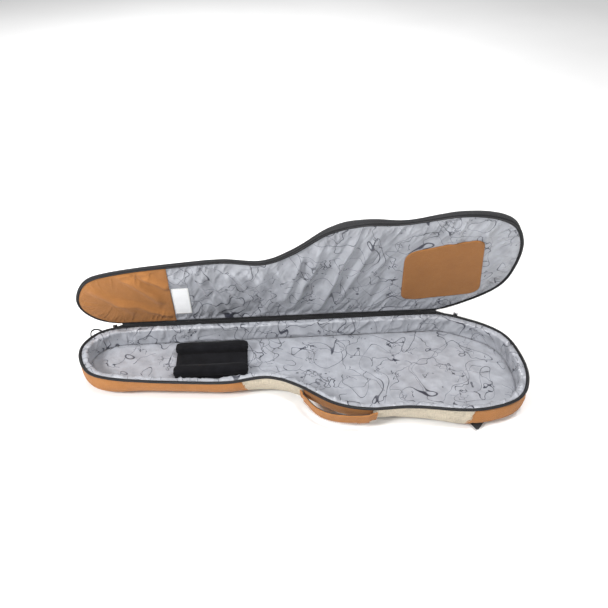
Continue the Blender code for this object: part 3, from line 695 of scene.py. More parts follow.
def lid_height(x, y, sizes):
    """How far the lid's lining stands out from its seam: a soft crown, gathers at the seam and long folds. It
    is calm under the patches, and its relief has little room over the tub's padded rim."""
    distance, at = edge_distance(x, y, 0.005)
    crown = 0.0035 * (1 - np.exp(-distance / 0.012))
    reach = 0.024 + 0.013 * lattice_noise(at / 0.05, at * 0, 3)
    gather = creased(lattice_noise((at + 0.35 * distance) / 0.0135, distance / 0.11, 11))
    pucker = sizes.pucker * np.exp(-distance / reach) * gather * smooth_step(distance, 0.002, 0.014)
    long_folds = sizes.fold * fold_lines(x, y, LID_FOLDS)
    slack = 0.55 * sizes.fold * layered_noise((x + 0.45 * y) / 0.040, y / 0.14, 21)
    fine = 0.0014 * creased(layered_noise((x + 0.6 * y) / 0.020, y / 0.06, 31))
    centre = np.mean(BRIDGE_CORNERS, axis=0)
    off_bridge = np.maximum(np.abs(x - centre[0]), np.abs(y - centre[1])) / 0.118
    on_bridge = 1 - smooth_step(off_bridge, 0.80, 1.15)
    on_head = 1 - smooth_step(x, -0.352, -0.335)
    low, high = LABEL_AREA
    off_x = np.abs(x - (low[0] + high[0]) / 2) / (high[0] - low[0])
    off_y = np.abs(y - (low[1] + high[1]) / 2) / (high[1] - low[1])
    on_label = 1 - smooth_step(np.maximum(off_x, off_y), 0.5, 0.75)
    calm = np.maximum(np.maximum(on_bridge, on_head), on_label)
    patch_folds = 1.15 * sizes.fold * fold_lines(x, y, PATCH_FOLDS) + 0.4 * pucker * on_head
    loose = smooth_step(distance, 0.001, 0.012)
    relief = (pucker + long_folds + slack + fine) * (1 - calm) + patch_folds * on_head + 0.1 * slack * calm
    room = 0.0038 + 0.030 * smooth_step(distance, 0.017, 0.036)
    return crown + room * np.tanh(relief * loose / room)


def on_lining(x, y, sizes, proud=0.0):
    """Places on the lid's lining, which looks down when the lid is closed. It comes nearer to the rim at the
    hinge."""
    level = RIM_Z + 0.0048 - 0.0018 * smooth_step(y, HINGE_Y - 0.02, HINGE_Y - 0.004)
    return opened(np.stack([x, y, level - lid_height(x, y, sizes) - proud], axis=-1))


# ---------------------------------------------------------------- finishes

class Graph:
    """A material whose nodes are added one by one."""

    def __init__(self, name):
        self.material = bpy.data.materials.new(name)
        self.material.use_nodes = True
        self.tree = self.material.node_tree
        self.shader = self.tree.nodes["Principled BSDF"]

    def add(self, kind, inputs=(), out=0, **settings):
        node = self.tree.nodes.new("ShaderNode" + kind)
        for key, value in settings.items():
            setattr(node, key, value)
        for key, value in dict(inputs).items():
            self.put(node.inputs[key], value)
        return node.outputs[out]

    def put(self, socket, value):
        if isinstance(value, bpy.types.NodeSocket):
            self.tree.links.new(value, socket)
        else:
            socket.default_value = value

    def cloth(self, turn=0.0):
        uv = self.add("UVMap", uv_map="Cloth")
        return self.add("Mapping", {"Vector": uv, "Rotation": (0, 0, radians(turn))}) if turn else uv

    def place(self):
        return self.add("TexCoord", out="Object")

    def noise(self, vector, scale, detail=2.0, roughness=0.5, distortion=0.0, out="Fac"):
        inputs = {"Vector": vector, "Scale": scale, "Detail": detail}
        inputs.update({"Roughness": roughness, "Distortion": distortion})
        return self.add("TexNoise", inputs, out)

    def threads(self, vector, pitch, direction, distortion=0.4):
        """Rounded ridges at a spacing in metres."""
        inputs = {"Vector": vector, "Scale": pi / (10 * pitch), "Distortion": distortion, "Detail": 1.0}
        return self.add("TexWave", inputs, out="Fac", bands_direction=direction)

    def maths(self, operation, a, b=0.0):
        return self.add("Math", {0: a, 1: b}, operation=operation)

    def fitted(self, value, low, high, to_low=0.0, to_high=1.0):
        inputs = {"Value": value, "From Min": low, "From Max": high, "To Min": to_low, "To Max": to_high}
        return self.add("MapRange", inputs)

    def blend(self, share, a, b):
        node = self.tree.nodes.new("ShaderNodeMix")
        node.data_type = "RGBA"
        for key, value in ((0, share), (6, a), (7, b)):
            self.put(node.inputs[key], value)
        return node.outputs[2]

    def bump(self, height, distance, strength=1.0, under=None):
        inputs = {"Height": height, "Distance": distance, "Strength": strength}
        if under:
            inputs["Normal"] = under
        return self.add("Bump", inputs)

    def shade(self, **inputs):
        for key, value in inputs.items():
            self.put(self.shader.inputs[key.replace("_", " ")], value)
        return self.material


def shades(colour, light, dark):
    colour = np.array(colour)
    return (*np.minimum(colour * light, 1.0), 1.0), (*(colour * dark), 1.0)


def canvas(name, colour, pitch, contrast=1.0, roughness=0.88, slub=0.35):
    """Plain woven canvas: warp and weft threads that cross, slubs along them, and uneven dye."""
    g = Graph(name)
    uv = g.cloth()
    warp, weft = g.threads(uv, pitch, "X"), g.threads(uv, pitch, "Y")
    checks = g.add("TexChecker", {"Vector": uv, "Scale": 1 / pitch}, out="Fac")
    weave = g.add("Mix", {0: checks, 2: warp, 3: weft})
    light, dark = shades(colour, 1.0 + 0.14 * contrast, 1.0 - 0.28 * contrast)
    long_slubs = g.noise(g.add("Mapping", {"Vector": uv, "Scale": (60, 700, 1)}), 1.0, 3.0)
    short_slubs = g.noise(g.add("Mapping", {"Vector": uv, "Scale": (600, 90, 1)}), 1.0, 3.0)
    long_slubs = g.fitted(g.maths("MULTIPLY", long_slubs, short_slubs), 0.12, 0.40)
    mottle = g.noise(g.place(), 22.0, 4.0, 0.6)
    share = g.maths("ADD", g.maths("MULTIPLY", weave, 0.45), g.maths("MULTIPLY", long_slubs, slub))
    share = g.maths("ADD", share, g.fitted(mottle, 0.3, 0.7, -0.10, 0.20))
    height = g.maths("ADD", weave, g.maths("MULTIPLY", long_slubs, 0.5))
    return g.shade(
        Base_Color=g.blend(share, dark, light), Roughness=roughness, Normal=g.bump(height, pitch * 0.35, 0.8),
        Sheen_Weight=0.08, Sheen_Roughness=0.5, Specular_IOR_Level=0.2,
    )


def satin(name, colour, ink):
    """Shiny lining with a dark print of contour lines, small shapes and dots on a slightly creased ground."""
    g = Graph(name)
    uv = g.cloth()

    def line_of(value, level, width):
        return g.fitted(g.maths("ABSOLUTE", g.maths("SUBTRACT", value, level)), width * 0.6, width, 1.0, 0.0)

    def outlines(scale, wobble, width, seed):
        """Closed shapes: the edges of cells, pushed about by noise."""
        moved = g.add("Mapping", {"Vector": uv, "Location": (seed, seed * 0.7, 0)})
        push = g.noise(moved, scale * 1.6, 2.0, out="Color")
        push = g.add("VectorMath", {0: push, 1: (0.5, 0.5, 0.5)}, operation="SUBTRACT")
        push = g.add("VectorMath", {0: push, "Scale": wobble}, operation="SCALE")
        moved = g.add("VectorMath", {0: moved, 1: push}, operation="ADD")
        inputs = {"Vector": moved, "Scale": scale, "Randomness": 1.0}
        edge = g.add("TexVoronoi", inputs, out="Distance", feature="DISTANCE_TO_EDGE")
        return g.fitted(edge, width * scale * 0.6, width * scale, 1.0, 0.0)

    def somewhere(scale, seed, share):
        moved = g.add("Mapping", {"Vector": uv, "Location": (seed, 0.3 * seed, 0)})
        return g.fitted(g.noise(moved, scale, 1.0), share, share + 0.012)

    large = g.maths("MULTIPLY", outlines(9.0, 0.12, 0.0011, 2.0), somewhere(12.0, 4.0, 0.40))
    fine = g.maths("MULTIPLY", outlines(26.0, 0.045, 0.0008, 5.0), somewhere(13.0, 7.0, 0.60))
    land = g.noise(uv, 7.6, 1.0, 0.4, 0.7)
    loops = g.maths("MAXIMUM", line_of(land, 0.40, 0.0042), line_of(land, 0.60, 0.0040))
    small = g.add("TexVoronoi", {"Vector": uv, "Scale": 24.0, "Randomness": 1.0}, out="Distance")
    dots = g.maths("MULTIPLY", g.fitted(small, 0.045, 0.060, 1.0, 0.0), somewhere(40.0, 9.0, 0.50))
    rings = g.maths("MULTIPLY", line_of(small, 0.13, 0.024), somewhere(30.0, 11.0, 0.62))
    lines = large
    for part in (fine, loops, dots, rings):
        lines = g.maths("MAXIMUM", lines, part)
    fade = g.fitted(g.noise(uv, 16.0, 1.0), 0.35, 0.55, 0.65, 1.0)
    cells = g.add("TexVoronoi", {"Vector": uv, "Scale": 7.0}, out="Distance")
    patches = g.fitted(cells, 0.16, 0.165, 0.14, 0.0)
    light, dark = shades(colour, 1.12, 0.82)
    ground = g.blend(g.fitted(g.noise(g.place(), 30.0, 3.0), 0.3, 0.7), dark, light)
    ground = g.blend(patches, ground, (*ink, 1.0))
    printed = g.blend(g.maths("MULTIPLY", lines, fade), ground, (*ink, 1.0))
    crinkle = g.noise(g.add("Mapping", {"Vector": uv, "Scale": (1.0, 0.45, 1.0)}), 60.0, 3.0, 0.55, 0.6)
    weave = g.threads(uv, 0.0006, "Y", 0.2)
    normal = g.bump(crinkle, 0.0016, 0.75)
    normal = g.bump(weave, 0.00008, 0.6, normal)
    return g.shade(
        Base_Color=printed, Roughness=0.29, Normal=normal, Specular_IOR_Level=0.65,
        Sheen_Weight=0.15, Sheen_Roughness=0.3, Anisotropic=0.3,
    )


def webbing(name, colour):
    """Ribbed webbing: ribs across it, fine threads along it."""
    g = Graph(name)
    uv = g.cloth()
    ribs, threads = g.threads(uv, 0.0018, "X", 0.2), g.threads(uv, 0.00108, "Y", 0.6)
    height = g.maths("ADD", ribs, g.maths("MULTIPLY", threads, 0.5))
    light, dark = shades(colour, 2.2, 0.7)
    return g.shade(
        Base_Color=g.blend(g.fitted(height, 0.2, 1.4, 0.0, 0.8), dark, light), Roughness=0.7,
        Normal=g.bump(height, 0.0004, 0.9), Sheen_Weight=0.1,
    )


def fleece(name, colour):
    """Short brushed pile with lint-like variation."""
    g = Graph(name)
    place = g.place()
    pile = g.noise(place, 900.0, 3.0, 0.7)
    broad = g.noise(place, 35.0, 3.0, 0.6)
    light, dark = shades(colour, 2.0, 0.6)
    share = g.maths("MULTIPLY", g.fitted(broad, 0.3, 0.7), g.fitted(pile, 0.3, 0.8))
    return g.shade(
        Base_Color=g.blend(share, dark, light), Roughness=0.95, Normal=g.bump(pile, 0.0008, 0.7),
        Sheen_Weight=0.05, Sheen_Roughness=0.5, Specular_IOR_Level=0.1,
    )


def mesh_cloth(name, colour):
    """Open-cell spacer mesh: round holes in rows over a soft ground, the holes painted dark as shade inside them.
    """
    g = Graph(name)
    uv = g.cloth()
    cells = g.add("TexVoronoi", {"Vector": uv, "Scale": 330.0, "Randomness": 0.15}, out="Distance")
    holes = g.fitted(cells, 0.20, 0.42)
    light, dark = shades(colour, 2.4, 0.25)
    broad = g.fitted(g.noise(g.place(), 30.0, 3.0), 0.3, 0.7, 0.6, 1.0)
    return g.shade(
        # Painted shade: the holes are darkened to a quarter of the colour and the ground between them is
        # lightened.
        Base_Color=g.blend(g.maths("MULTIPLY", holes, broad), dark, light), Roughness=0.85,
        Normal=g.bump(holes, 0.0008, 0.9), Specular_IOR_Level=0.25,
    )


def piping(name, colour):
    """Tightly wound tape over a cord, a little shiny on its crown."""
    g = Graph(name)
    wound = g.threads(g.cloth(35.0), 0.0012, "X", 0.5)
    light, dark = shades(colour, 2.0, 0.6)
    worn = g.fitted(g.noise(g.place(), 60.0, 3.0), 0.35, 0.75)
    return g.shade(
        Base_Color=g.blend(g.maths("MULTIPLY", worn, wound), dark, light), Roughness=0.55,
        Normal=g.bump(wound, 0.0003, 0.7), Specular_IOR_Level=0.35,
    )


def nickel(name):
    """Dark plated metal with brushed scratches and patches of duller finish."""
    g = Graph(name)
    place = g.place()
    scratches = g.noise(g.add("Mapping", {"Vector": place, "Scale": (60, 900, 900)}), 1.0, 4.0, 0.7)
    rough = g.fitted(g.noise(place, 120.0, 3.0), 0.3, 0.7, 0.22, 0.45)
    return g.shade(
        Base_Color=g.blend(scratches, (0.18, 0.18, 0.19, 1), (0.42, 0.42, 0.43, 1)), Metallic=1.0,
        Roughness=rough, Normal=g.bump(scratches, 0.0001, 0.4),
    )


def moulded(name, colour):
    """Moulded plastic with a fine spark-eroded grain."""
    g = Graph(name)
    grain = g.noise(g.place(), 1400.0, 2.0, 0.6)
    light, dark = shades(colour, 1.6, 0.8)
    return g.shade(
        Base_Color=g.blend(g.noise(g.place(), 50.0, 2.0), dark, light), Roughness=0.45,
        Normal=g.bump(grain, 0.00015, 0.5), Specular_IOR_Level=0.4,
    )


def thread_finish(name, colour):
    """Twisted sewing thread."""
    g = Graph(name)
    twist = g.add("TexWave", {"Vector": g.place(), "Scale": 350.0, "Distortion": 2.0}, out="Fac")
    light, dark = shades(colour, 1.3, 0.7)
    return g.shade(
        Base_Color=g.blend(twist, dark, light), Roughness=0.6, Normal=g.bump(twist, 0.0001, 0.6),
        Sheen_Weight=0.2,
    )


def label_finish(name, colour):
    """Woven label: fine satin ribs and a faint unevenness."""
    g = Graph(name)
    uv = g.cloth()
    ribs = g.threads(uv, 0.0007, "X", 0.3)
    light, dark = shades(colour, 1.05, 0.86)
    soil = g.fitted(g.noise(g.place(), 40.0, 3.0), 0.35, 0.8, 0.9, 0.55)
    return g.shade(
        Base_Color=g.blend(g.maths("MULTIPLY", soil, g.fitted(ribs, 0, 1, 0.75, 1.0)), dark, light),
        Roughness=0.6, Normal=g.bump(ribs, 0.0002, 0.6), Sheen_Weight=0.2,
    )


FINISHES = {}


def finish(name):
    """The named finish, made on first use from the colours in the settings."""
    if name not in FINISHES:
        c = bpy.context.scene.gig_bag_colours
        pitch = bpy.context.scene.gig_bag_sizes.thread_pitch
        makers = {
            "Tan canvas": lambda n: canvas(n, tuple(c.tan), pitch, 0.9),
            # Painted shade: the bridge patch is the tan canvas darkened to 0.84, for the dimmer light on the
            # lid's lining.
            "Tan patch": lambda n: canvas(n, tuple(0.84 * v for v in c.tan), pitch, 0.9),
            "Tan webbing": lambda n: canvas(n, tuple(c.tan), pitch * 1.3, 1.2, 0.82),
            "Linen canvas": lambda n: canvas(n, tuple(c.linen), pitch * 1.3, 1.3, 0.92, slub=0.9),
            "Charcoal nylon": lambda n: canvas(n, tuple(c.charcoal), pitch * 0.7, 1.3, 0.7),
            "Printed satin": lambda n: satin(n, tuple(c.satin), tuple(c.ink)),
            "Black webbing": lambda n: webbing(n, tuple(c.black)),
            "Black fleece": lambda n: fleece(n, tuple(c.black)),
            "Spacer mesh": lambda n: mesh_cloth(n, (0.02, 0.02, 0.022)),
            "Black piping": lambda n: piping(n, tuple(c.black)),
            "Dark nickel": nickel,
            "Black plastic": lambda n: moulded(n, (0.012, 0.012, 0.013)),
            "Tan thread": lambda n: thread_finish(n, tuple(c.thread)),
            "Black thread": lambda n: thread_finish(n, (0.015, 0.015, 0.017)),
            "Pale thread": lambda n: thread_finish(n, (0.55, 0.50, 0.42)),
            "Woven label": lambda n: label_finish(n, tuple(c.label)),
        }
        FINISHES[name] = makers[name](name)
    return FINISHES[name]


# ---------------------------------------------------------------- tub

class GIGBAG_OT_outer_wall(Operator):
    """Adds the tub's canvas wall in its sewn panels, with the stitching at their seams"""

    bl_idname = "gigbag.outer_wall"
    bl_label = "Outer Wall"

    PANELS = (
        ("head_end_wall", "head_end_panel", "Tan canvas", "tan"),
        ("neck_side_wall", "neck_side_panel", "Linen canvas", "linen"),
        ("handle_side_wall", "handle_panel", "Tan canvas", "tan"),
        ("body_side_wall", "body_side_panel", "Linen canvas", "linen"),
        ("body_end_wall", "body_end_panel", "Tan canvas", "tan"),
        ("hinge_side_wall", "hinge_side_panel", "Tan canvas", "tan"),
    )

    def wall(self, at, start, end, bulge):
        """Profile at each place: down the wall with a slight swell, then round under it in a quarter ellipse.
        It draws in near a seam."""
        top = RIM_Z - 0.0086
        across, up = hull_inset(at)[:, None], hull_rise(at)[:, None]
        level = np.linspace(0.0, 1.0, 9)[None]
        upper_z = top + (TUB_Z + up - top) * level
        turn = np.radians(np.linspace(0.0, 88.0, 21))[None, 1:]
        lower = across * (1 - np.cos(turn)), TUB_Z + up * (1 - np.sin(turn))
        inset = np.hstack([np.zeros_like(upper_z), lower[0], across + 0.004])
        z = np.hstack([upper_z, lower[1], np.full_like(across, TUB_Z)])
        u = np.hstack([np.zeros((len(at), 1)), np.cumsum(np.hypot(np.diff(inset), np.diff(z)), axis=1)])
        seam = np.abs(np.minimum(at - start, end - at))
        tuck = 0.0018 * np.exp(-((seam / 0.004) ** 2))[:, None]
        share = np.clip(u / 0.075, 0.0, 1.0)
        swell = -bulge * np.sin(pi * share) * (1 - np.exp(-seam / 0.02))[:, None]
        slant = at[:, None] - 0.6 * u
        drag = np.exp(-u / 0.03) * lattice_noise(slant / 0.013, u / 0.3, 41) * 0.0009
        drag = drag + 0.0016 * layered_noise(slant / 0.055, u / 0.12, 45) * np.sin(pi * share)
        wave = 0.0012 * layered_noise(at[:, None] / 0.085, u / 0.05, 43)
        fade = np.clip(u / 0.010, 0, 1)
        return np.stack([inset + tuck + swell + (drag + wave) * fade, z], axis=-1), u

    def execute(self, context):
        sizes = context.scene.gig_bag_sizes
        ends = [0.0, *(OUTLINE.at_x(x) for x in SEAM_X), OUTLINE.length, OUTLINE.total]
        slants = (0.0, 0.40, 0.0, 0.0, -0.50, 0.0, 0.0)
        for (name, node, cloth, slot), start, end, lean, far_lean in zip(
            self.PANELS, ends[:-1], ends[1:], slants[:-1], slants[1:]
        ):
            row = np.arange(start - 0.04, end + 0.04, 0.004)
            profile, u = self.wall(row, start, end, sizes.bulge)
            down = u.mean(axis=0)[None]
            share = np.linspace(0.0, 1.0, int((end - start) / 0.004) + 1)[:, None]
            at = (start + 0.0002 + lean * down) * (1 - share) + (end - 0.0002 + far_lean * down) * share
            columns = range(at.shape[1])
            inset, z = (
                np.stack([np.interp(at[:, k], row, profile[:, k, axis]) for k in columns], axis=1)
                for axis in (0, 1)
            )
            points, normals = (part.reshape(*at.shape, 2) for part in OUTLINE.places(at.ravel()))
            grid = np.concatenate([points + normals * inset[..., None], z[..., None]], axis=-1)
            uv = np.stack([at, np.broadcast_to(down, at.shape)], axis=-1)
            made = surface(name, grid, finish(cloth), uv=uv, flip=True, solid=0.0012)
            belongs(made, "tub", slot, node)
            thread = "Tan thread" if slot == "tan" else "Pale thread"
            outward = np.concatenate([-normals, np.zeros((*at.shape, 1))], axis=-1)
            lines = ((grid[1, 1:18], outward[1, 1:18]), (grid[-2, 1:18], outward[-2, 1:18]))
            lines += ((grid[2:-2, 1], outward[2:-2, 1]),)
            rows = [
                stitch_row(f"{name}_line_{k}", line + face * 0.0003, face, finish(thread))
                for k, (line, face) in enumerate(lines)
            ]
            belongs(joined(f"{name}_stitches", rows), "tub", slot)
        return {"FINISHED"}


class GIGBAG_OT_lining(Operator):
    """Adds the satin over the tub's padded wall and floor"""

    bl_idname = "gigbag.lining"
    bl_label = "Tub Lining"

    def execute(self, context):
        sizes = context.scene.gig_bag_sizes
        at, points, normals = OUTLINE.loop(0.0028)
        top = RIM_Z - 0.0075
        roll = arc_profile(0.0128, top - 0.0015, 0.0090, 176, 8, 14)
        roll[:, 1] = top - 0.0015 + 0.5 * (roll[:, 1] - top + 0.0015)
        drop = np.linspace((0.0219, top - 0.004), (0.0232, FLOOR_Z - 0.004), 15)
        profile = np.vstack([roll, drop])
        u = np.r_[0.0, np.cumsum(np.linalg.norm(np.diff(profile, axis=0), axis=1))]
        outward = np.gradient(profile, axis=0)
        outward /= np.linalg.norm(outward, axis=1)[:, None]
        outward = np.stack([-outward[:, 1], outward[:, 0]], axis=1)
        a, d = at[:, None], u[None]
        fade = smooth_step(u, 0.001, 0.011) * (1 - smooth_step(u, u[-1] - 0.012, u[-1]))
        gather = creased(lattice_noise(a / 0.011 + d / 0.06, d / 0.045, 51)) * np.exp(-d / 0.028)
        lean = 0.8 * d * lattice_noise(a / 0.12, d * 0, 57)
        folds = creased(layered_noise((a + lean) / 0.038, d / 0.08, 53))
        broad = layered_noise(a / 0.07, d / 0.05, 55)
        height = fade * (0.40 * sizes.pucker * gather + 0.0042 * folds + 0.0020 * broad)
        shifted = profile[None] + outward[None] * height[..., None]
        shifted[..., 1] += 0.0022 * along_hinge(at, 0.02)[:, None] * np.exp(-d / 0.02)
        uv_at = np.r_[at, OUTLINE.total]
        uv = np.stack(np.meshgrid(uv_at, u + 0.2, indexing="ij"), axis=-1)
        wall = surface(
            "wall_satin", carried(points, normals, shifted), finish("Printed satin"), uv=uv,
            wrap=(True, False), solid=0.0009,
        )
        belongs(wall, "tub", "lining", "wall_lining", "wall_foam")

        x, y = plan_sheet(0.0226, 0.0036)
        distance, _ = edge_distance(x, y, 0.0226)
        slack = layered_noise((x + 0.25 * y) / 0.085, y / 0.075, 61)
        creases = creased(layered_noise((x - 0.3 * y) / 0.05, (y + 0.4 * x) / 0.045, 63))
        rise = (1 - np.exp(-distance / 0.02)) * (0.0022 * slack + 0.0018 * creases + 0.0016)
        z = FLOOR_Z - 0.0050 * np.exp(-distance / 0.007) + rise
        plan_cloth(
            "floor_satin", x, y, np.stack([x, y, z], axis=-1), "Printed satin",
            ("tub", "lining", "floor_lining", "floor_foam"), "floor_foam", 0.72, "laid", solid=0.0009,
        )
        return {"FINISHED"}


class GIGBAG_OT_cradle(Operator):
    """Adds the padded block that holds the neck"""

    bl_idname = "gigbag.cradle"
    bl_label = "Neck Cradle"

    def execute(self, context):
        for node in ("cradle_base", "cradle_cheek_front", "cradle_cheek_rear"):
            low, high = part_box(node)
            outline = rounded_polygon(plan_corners(node), 0.012)
            made = plumped(cushion(
                f"{node}_pad", outline, low.z, high.z, finish("Black fleece"), square=0.34, crown=0.002
            ))
            belongs(made, "tub", "black", node)
        return {"FINISHED"}


class GIGBAG_OT_underside(Operator):
    """Adds the nylon under the tub and the padded panels it stands on"""

    bl_idname = "gigbag.underside"
    bl_label = "Underside"

    def execute(self, context):
        x, y = plan_sheet(lambda at: hull_inset(at) - 0.001, 0.008)
        plan_cloth(
            "underside_cloth", x, y, np.stack([x, y, np.full_like(x, TUB_Z + 0.0004)], axis=-1),
            "Charcoal nylon", ("tub", "charcoal", "underside_panel"), "floor_foam", 0.72, flip=True, solid=0.0015,
        )
        spine = rounded_polygon(((-0.020, -0.014), (0.470, -0.050), (0.470, 0.050), (-0.020, 0.014)), 0.009)
        for name, node, outline in (
            ("spine_cushion", "spine_pad", spine),
            ("neck_cushion", "neck_pad", rounded_polygon(plan_corners("neck_pad"), 0.015)),
        ):
            bottom, top = (corner.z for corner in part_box(node))
            made = cushion(name, outline, bottom, top, finish("Spacer mesh"), square=0.35)
            belongs(made, "tub", "black", node)
            piped(f"{name}_piping", outline, (bottom + top) / 2, 0.0016, "tub")
        return {"FINISHED"}


# ---------------------------------------------------------------- rim, zip and hinge

class GIGBAG_OT_rim(Operator):
    """Adds the piping, the zip tapes with their teeth, and the hinge, on the tub and on the lid"""

    bl_idname = "gigbag.rim"
    bl_label = "Rim and Zip"

    def execute(self, context):
        sizes = context.scene.gig_bag_sizes
        for side, word in ((-1, "tub"), (1, "lid")):
            body = word
            place = opened if side > 0 else np.asarray
            at, points, normals = OUTLINE.loop(0.005)
            waver = 0.0004 * layered_noise(at / 0.05, at * 0, 71 + side)[:, None, None]
            bold = 1.0 - 0.42 * along_hinge(at)
            broad = 1.45 if side < 0 else 1.9
            ring = ring_profile(0.0, 0.0, 0.0031, width=broad)[None] * bold[:, None, None] + waver
            ring = ring + (BINDING_INSET + 0.0032 * (broad - 1.45), RIM_Z + side * 0.0056)
            rim = points, normals
            round_rim(f"{word}_piping", rim, ring, "Black piping", place, body, f"{word}_binding", closed=True)
            start, end = 0.012, OUTLINE.length - 0.012
            _, *rim = OUTLINE.run(start, end, 0.006)
            tape = [(0.0013, 0.0012), (0.0013, 0.0040), (0.0027, 0.0040), (0.0027, 0.0012)]
            tape = np.array([(inset, RIM_Z + side * z) for inset, z in tape])
            round_rim(f"{word}_zip_band", rim, tape, "Black webbing", place, body, f"{word}_zip_tape")
            at, *rim = OUTLINE.run(start, end, sizes.tooth / 3)
            swell = 0.00075 + 0.0004 * np.cos(2 * pi * at / sizes.tooth)
            ring = ring_profile(0.0, 0.0, 1.0, 6, 1.25)[None] * swell[:, None, None]
            ring = ring + (BINDING_INSET, RIM_Z + side * 0.0013)
            round_rim(f"{word}_zip_teeth", rim, ring, "Black plastic", place, body)
            low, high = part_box("hinge_cord")
            x = np.linspace(low.x, high.x, 180)
            drop = np.array([0.0030, 0.0075, 0.012, 0.017, 0.0225])
            wave = 0.0003 * layered_noise(x[:, None] / 0.04, drop[None] / 0.02, 75 + side)
            y = HINGE_Y + 0.0016 + wave
            z = RIM_Z + side * np.broadcast_to(drop, y.shape)
            grid = np.stack([np.broadcast_to(x[:, None], y.shape), y, z], axis=-1)
            made = surface(
                f"hinge_{word}_leaf", place(grid), finish("Black webbing"), flip=side < 0, solid=0.0012
            )
            belongs(made, body, "black", f"hinge_tape_{word}")
            back = (0.0, 1.0, 0.0) if side < 0 else way(0.0, 1.0, 0.0)
            for row, level in enumerate((0.010, 0.019)):
                line = np.column_stack([x, np.full((len(x), 2), (HINGE_Y + 0.0020, RIM_Z + side * level))])
                sewn(f"hinge_{word}_stitches_{row}", place(line), back, "Tan thread", body, "black")
        turns = ("head", -0.022, 0.050), ("body", OUTLINE.length + 0.022, OUTLINE.length - 0.050)
        for word, near, far in turns:
            out, t = np.meshgrid(np.linspace(0.0, 1.0, 37), np.linspace(0.0, 1.0, 15), indexing="ij")
            at = near + (far - near) * out * (1 - 2.2 * t * (1 - t))
            points, normals = OUTLINE.places(at.ravel())
            plan = points + normals * 0.001
            level = np.full(len(plan), 0.0046)
            tub_edge = np.column_stack([plan, RIM_Z - level]).reshape(*at.shape, 3)
            lid_edge = opened(np.column_stack([plan, RIM_Z + level])).reshape(*at.shape, 3)
            hollow = (t * (1 - t))[..., None]
            grid = tub_edge * (1 - t[..., None]) + lid_edge * t[..., None] + hollow * (0.0, 0.010, 0.002)
            webbing_finish = finish("Black webbing")
            made = surface(f"hinge_gore_{word}", grid, webbing_finish, flip=word == "head", solid=0.0010)
            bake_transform(made)
        low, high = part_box("hinge_cord")
        x = np.linspace(low.x, high.x, 120)
        path = np.column_stack([x, np.full((len(x), 2), (HINGE_PLACE, RIM_Z))])
        cord = tube("hinge_piping", path, 0.0026, finish("Black piping"), 12)
        belongs(cord, "tub", "black", "hinge_cord")
        return {"FINISHED"}


# ---------------------------------------------------------------- handle, loop and sliders

# How far the handle stands off the wall, from end to end: share of its length and distance
HANDLE_STAND_OFF = (
    (-0.03, 0.0015), (0.0, 0.0035), (0.045, 0.0095), (0.12, 0.014), (0.26, 0.022), (0.38, 0.024), (0.50, 0.022),
    (0.62, 0.018), (0.79, 0.0135), (0.90, 0.0115), (0.955, 0.0095), (1.0, 0.0045), (1.05, 0.0018),
)


class GIGBAG_OT_handle(Operator):
    """Adds the carry handle, its black facing, its stitching and the reinforced ends"""

    bl_idname = "gigbag.handle"
    bl_label = "Carry Handle"

    def path(self, first, last, count):
        """Plan path from share to share of the handle's part of the wall."""
        start, end = OUTLINE.at_x(SEAM_X[1]), OUTLINE.at_x(SEAM_X[2])
        knots = np.array(HANDLE_STAND_OFF)
        wanted = np.linspace(first, last, count)
        points, normals = OUTLINE.places(start + (end - start) * wanted)
        smooth = smooth_curve(knots[[0, *range(len(knots)), -1]], 20)
        off = np.interp(wanted, smooth[:, 0], smooth[:, 1])
        return points - normals * off[:, None]

    def strap(self, name, first, last, count, depth, thickness, cloth, width):
        """A band along the handle's path: it leans in at its lower edge and hangs a little in the middle."""
        plan = self.path(first, last, count)
        step = np.gradient(plan, axis=0)
        step /= np.linalg.norm(step, axis=1)[:, None]
        outward = np.stack([step[:, 1], -step[:, 0]], axis=1)
        centre_z = RIM_Z - 0.027
        sag = -0.0052 * np.sin(pi * np.clip(np.linspace(first, last, count), 0, 1)) ** 1.5
        path = np.column_stack([plan + outward * depth, centre_z + sag])
        lean = np.full(count, radians(13.0))
        face = np.column_stack([outward * np.cos(lean)[:, None], -np.sin(lean)])
        return ribbon(name, path, face, width, thickness, cloth, 0.3), path, face

    def execute(self, context):
        cloth, facing = finish("Tan webbing"), finish("Black webbing")
        made, path, face = self.strap("handle_band", 0.045, 0.955, 90, 0.0015, 0.0032, cloth, 0.0330)
        belongs(made, "handle", "tan", "handle_strap")
        inner, _, _ = self.strap("handle_facing", 0.045, 0.955, 90, -0.0012, 0.0024, facing, 0.0352)
        belongs(inner, "handle", "black", "handle_lining")
        for row, level in enumerate((-0.0128, 0.0128, 0.0100, -0.0100)):
            line = path + face * 0.0018 + (0.0, 0.0, level)
            sewn(f"handle_stitches_{row}", line, face, "Tan thread", "handle", "tan")
        made, _, _ = self.strap("handle_sleeve", 0.80, 0.955, 30, 0.0028, 0.0030, cloth, 0.0345)
        belongs(made, "handle", "tan")
        for first, last, word in ((-0.035, 0.047, "head"), (0.953, 1.05, "body")):
            made, path, _ = self.strap(f"handle_end_{word}", first, last, 22, 0.0004, 0.0042, cloth, 0.0325)
            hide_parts(f"handle_anchor_{word}")
            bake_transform(made)
        for word, x_from, x_to in (("head", -0.036, -0.004), ("body", 0.175, 0.207)):
            start, end = OUTLINE.at_x(x_from), OUTLINE.at_x(x_to)
            low, high = RIM_Z - 0.042, RIM_Z - 0.013
            ring = (start, low), (end, low), (end, high), (start, high), (start, low), (end, high)
            cross = (start, high), (end, low)
            rows = []
            for k, line in enumerate((ring, cross)):
                line = resampled(np.array(line), 60)
                points, normals = OUTLINE.places(line[:, 0])
                off = wall_inset(line[:, 0], line[:, 1]) - 0.0018
                path = np.column_stack([points + normals * off[:, None], line[:, 1]])
                outward = np.column_stack([-normals, np.zeros(len(normals))])
                rows.append(stitch_row(f"box_{word}_{k}", path, outward, finish("Pale thread")))
            belongs(joined(f"handle_box_stitch_{word}", rows), "tub", "linen")
        return {"FINISHED"}


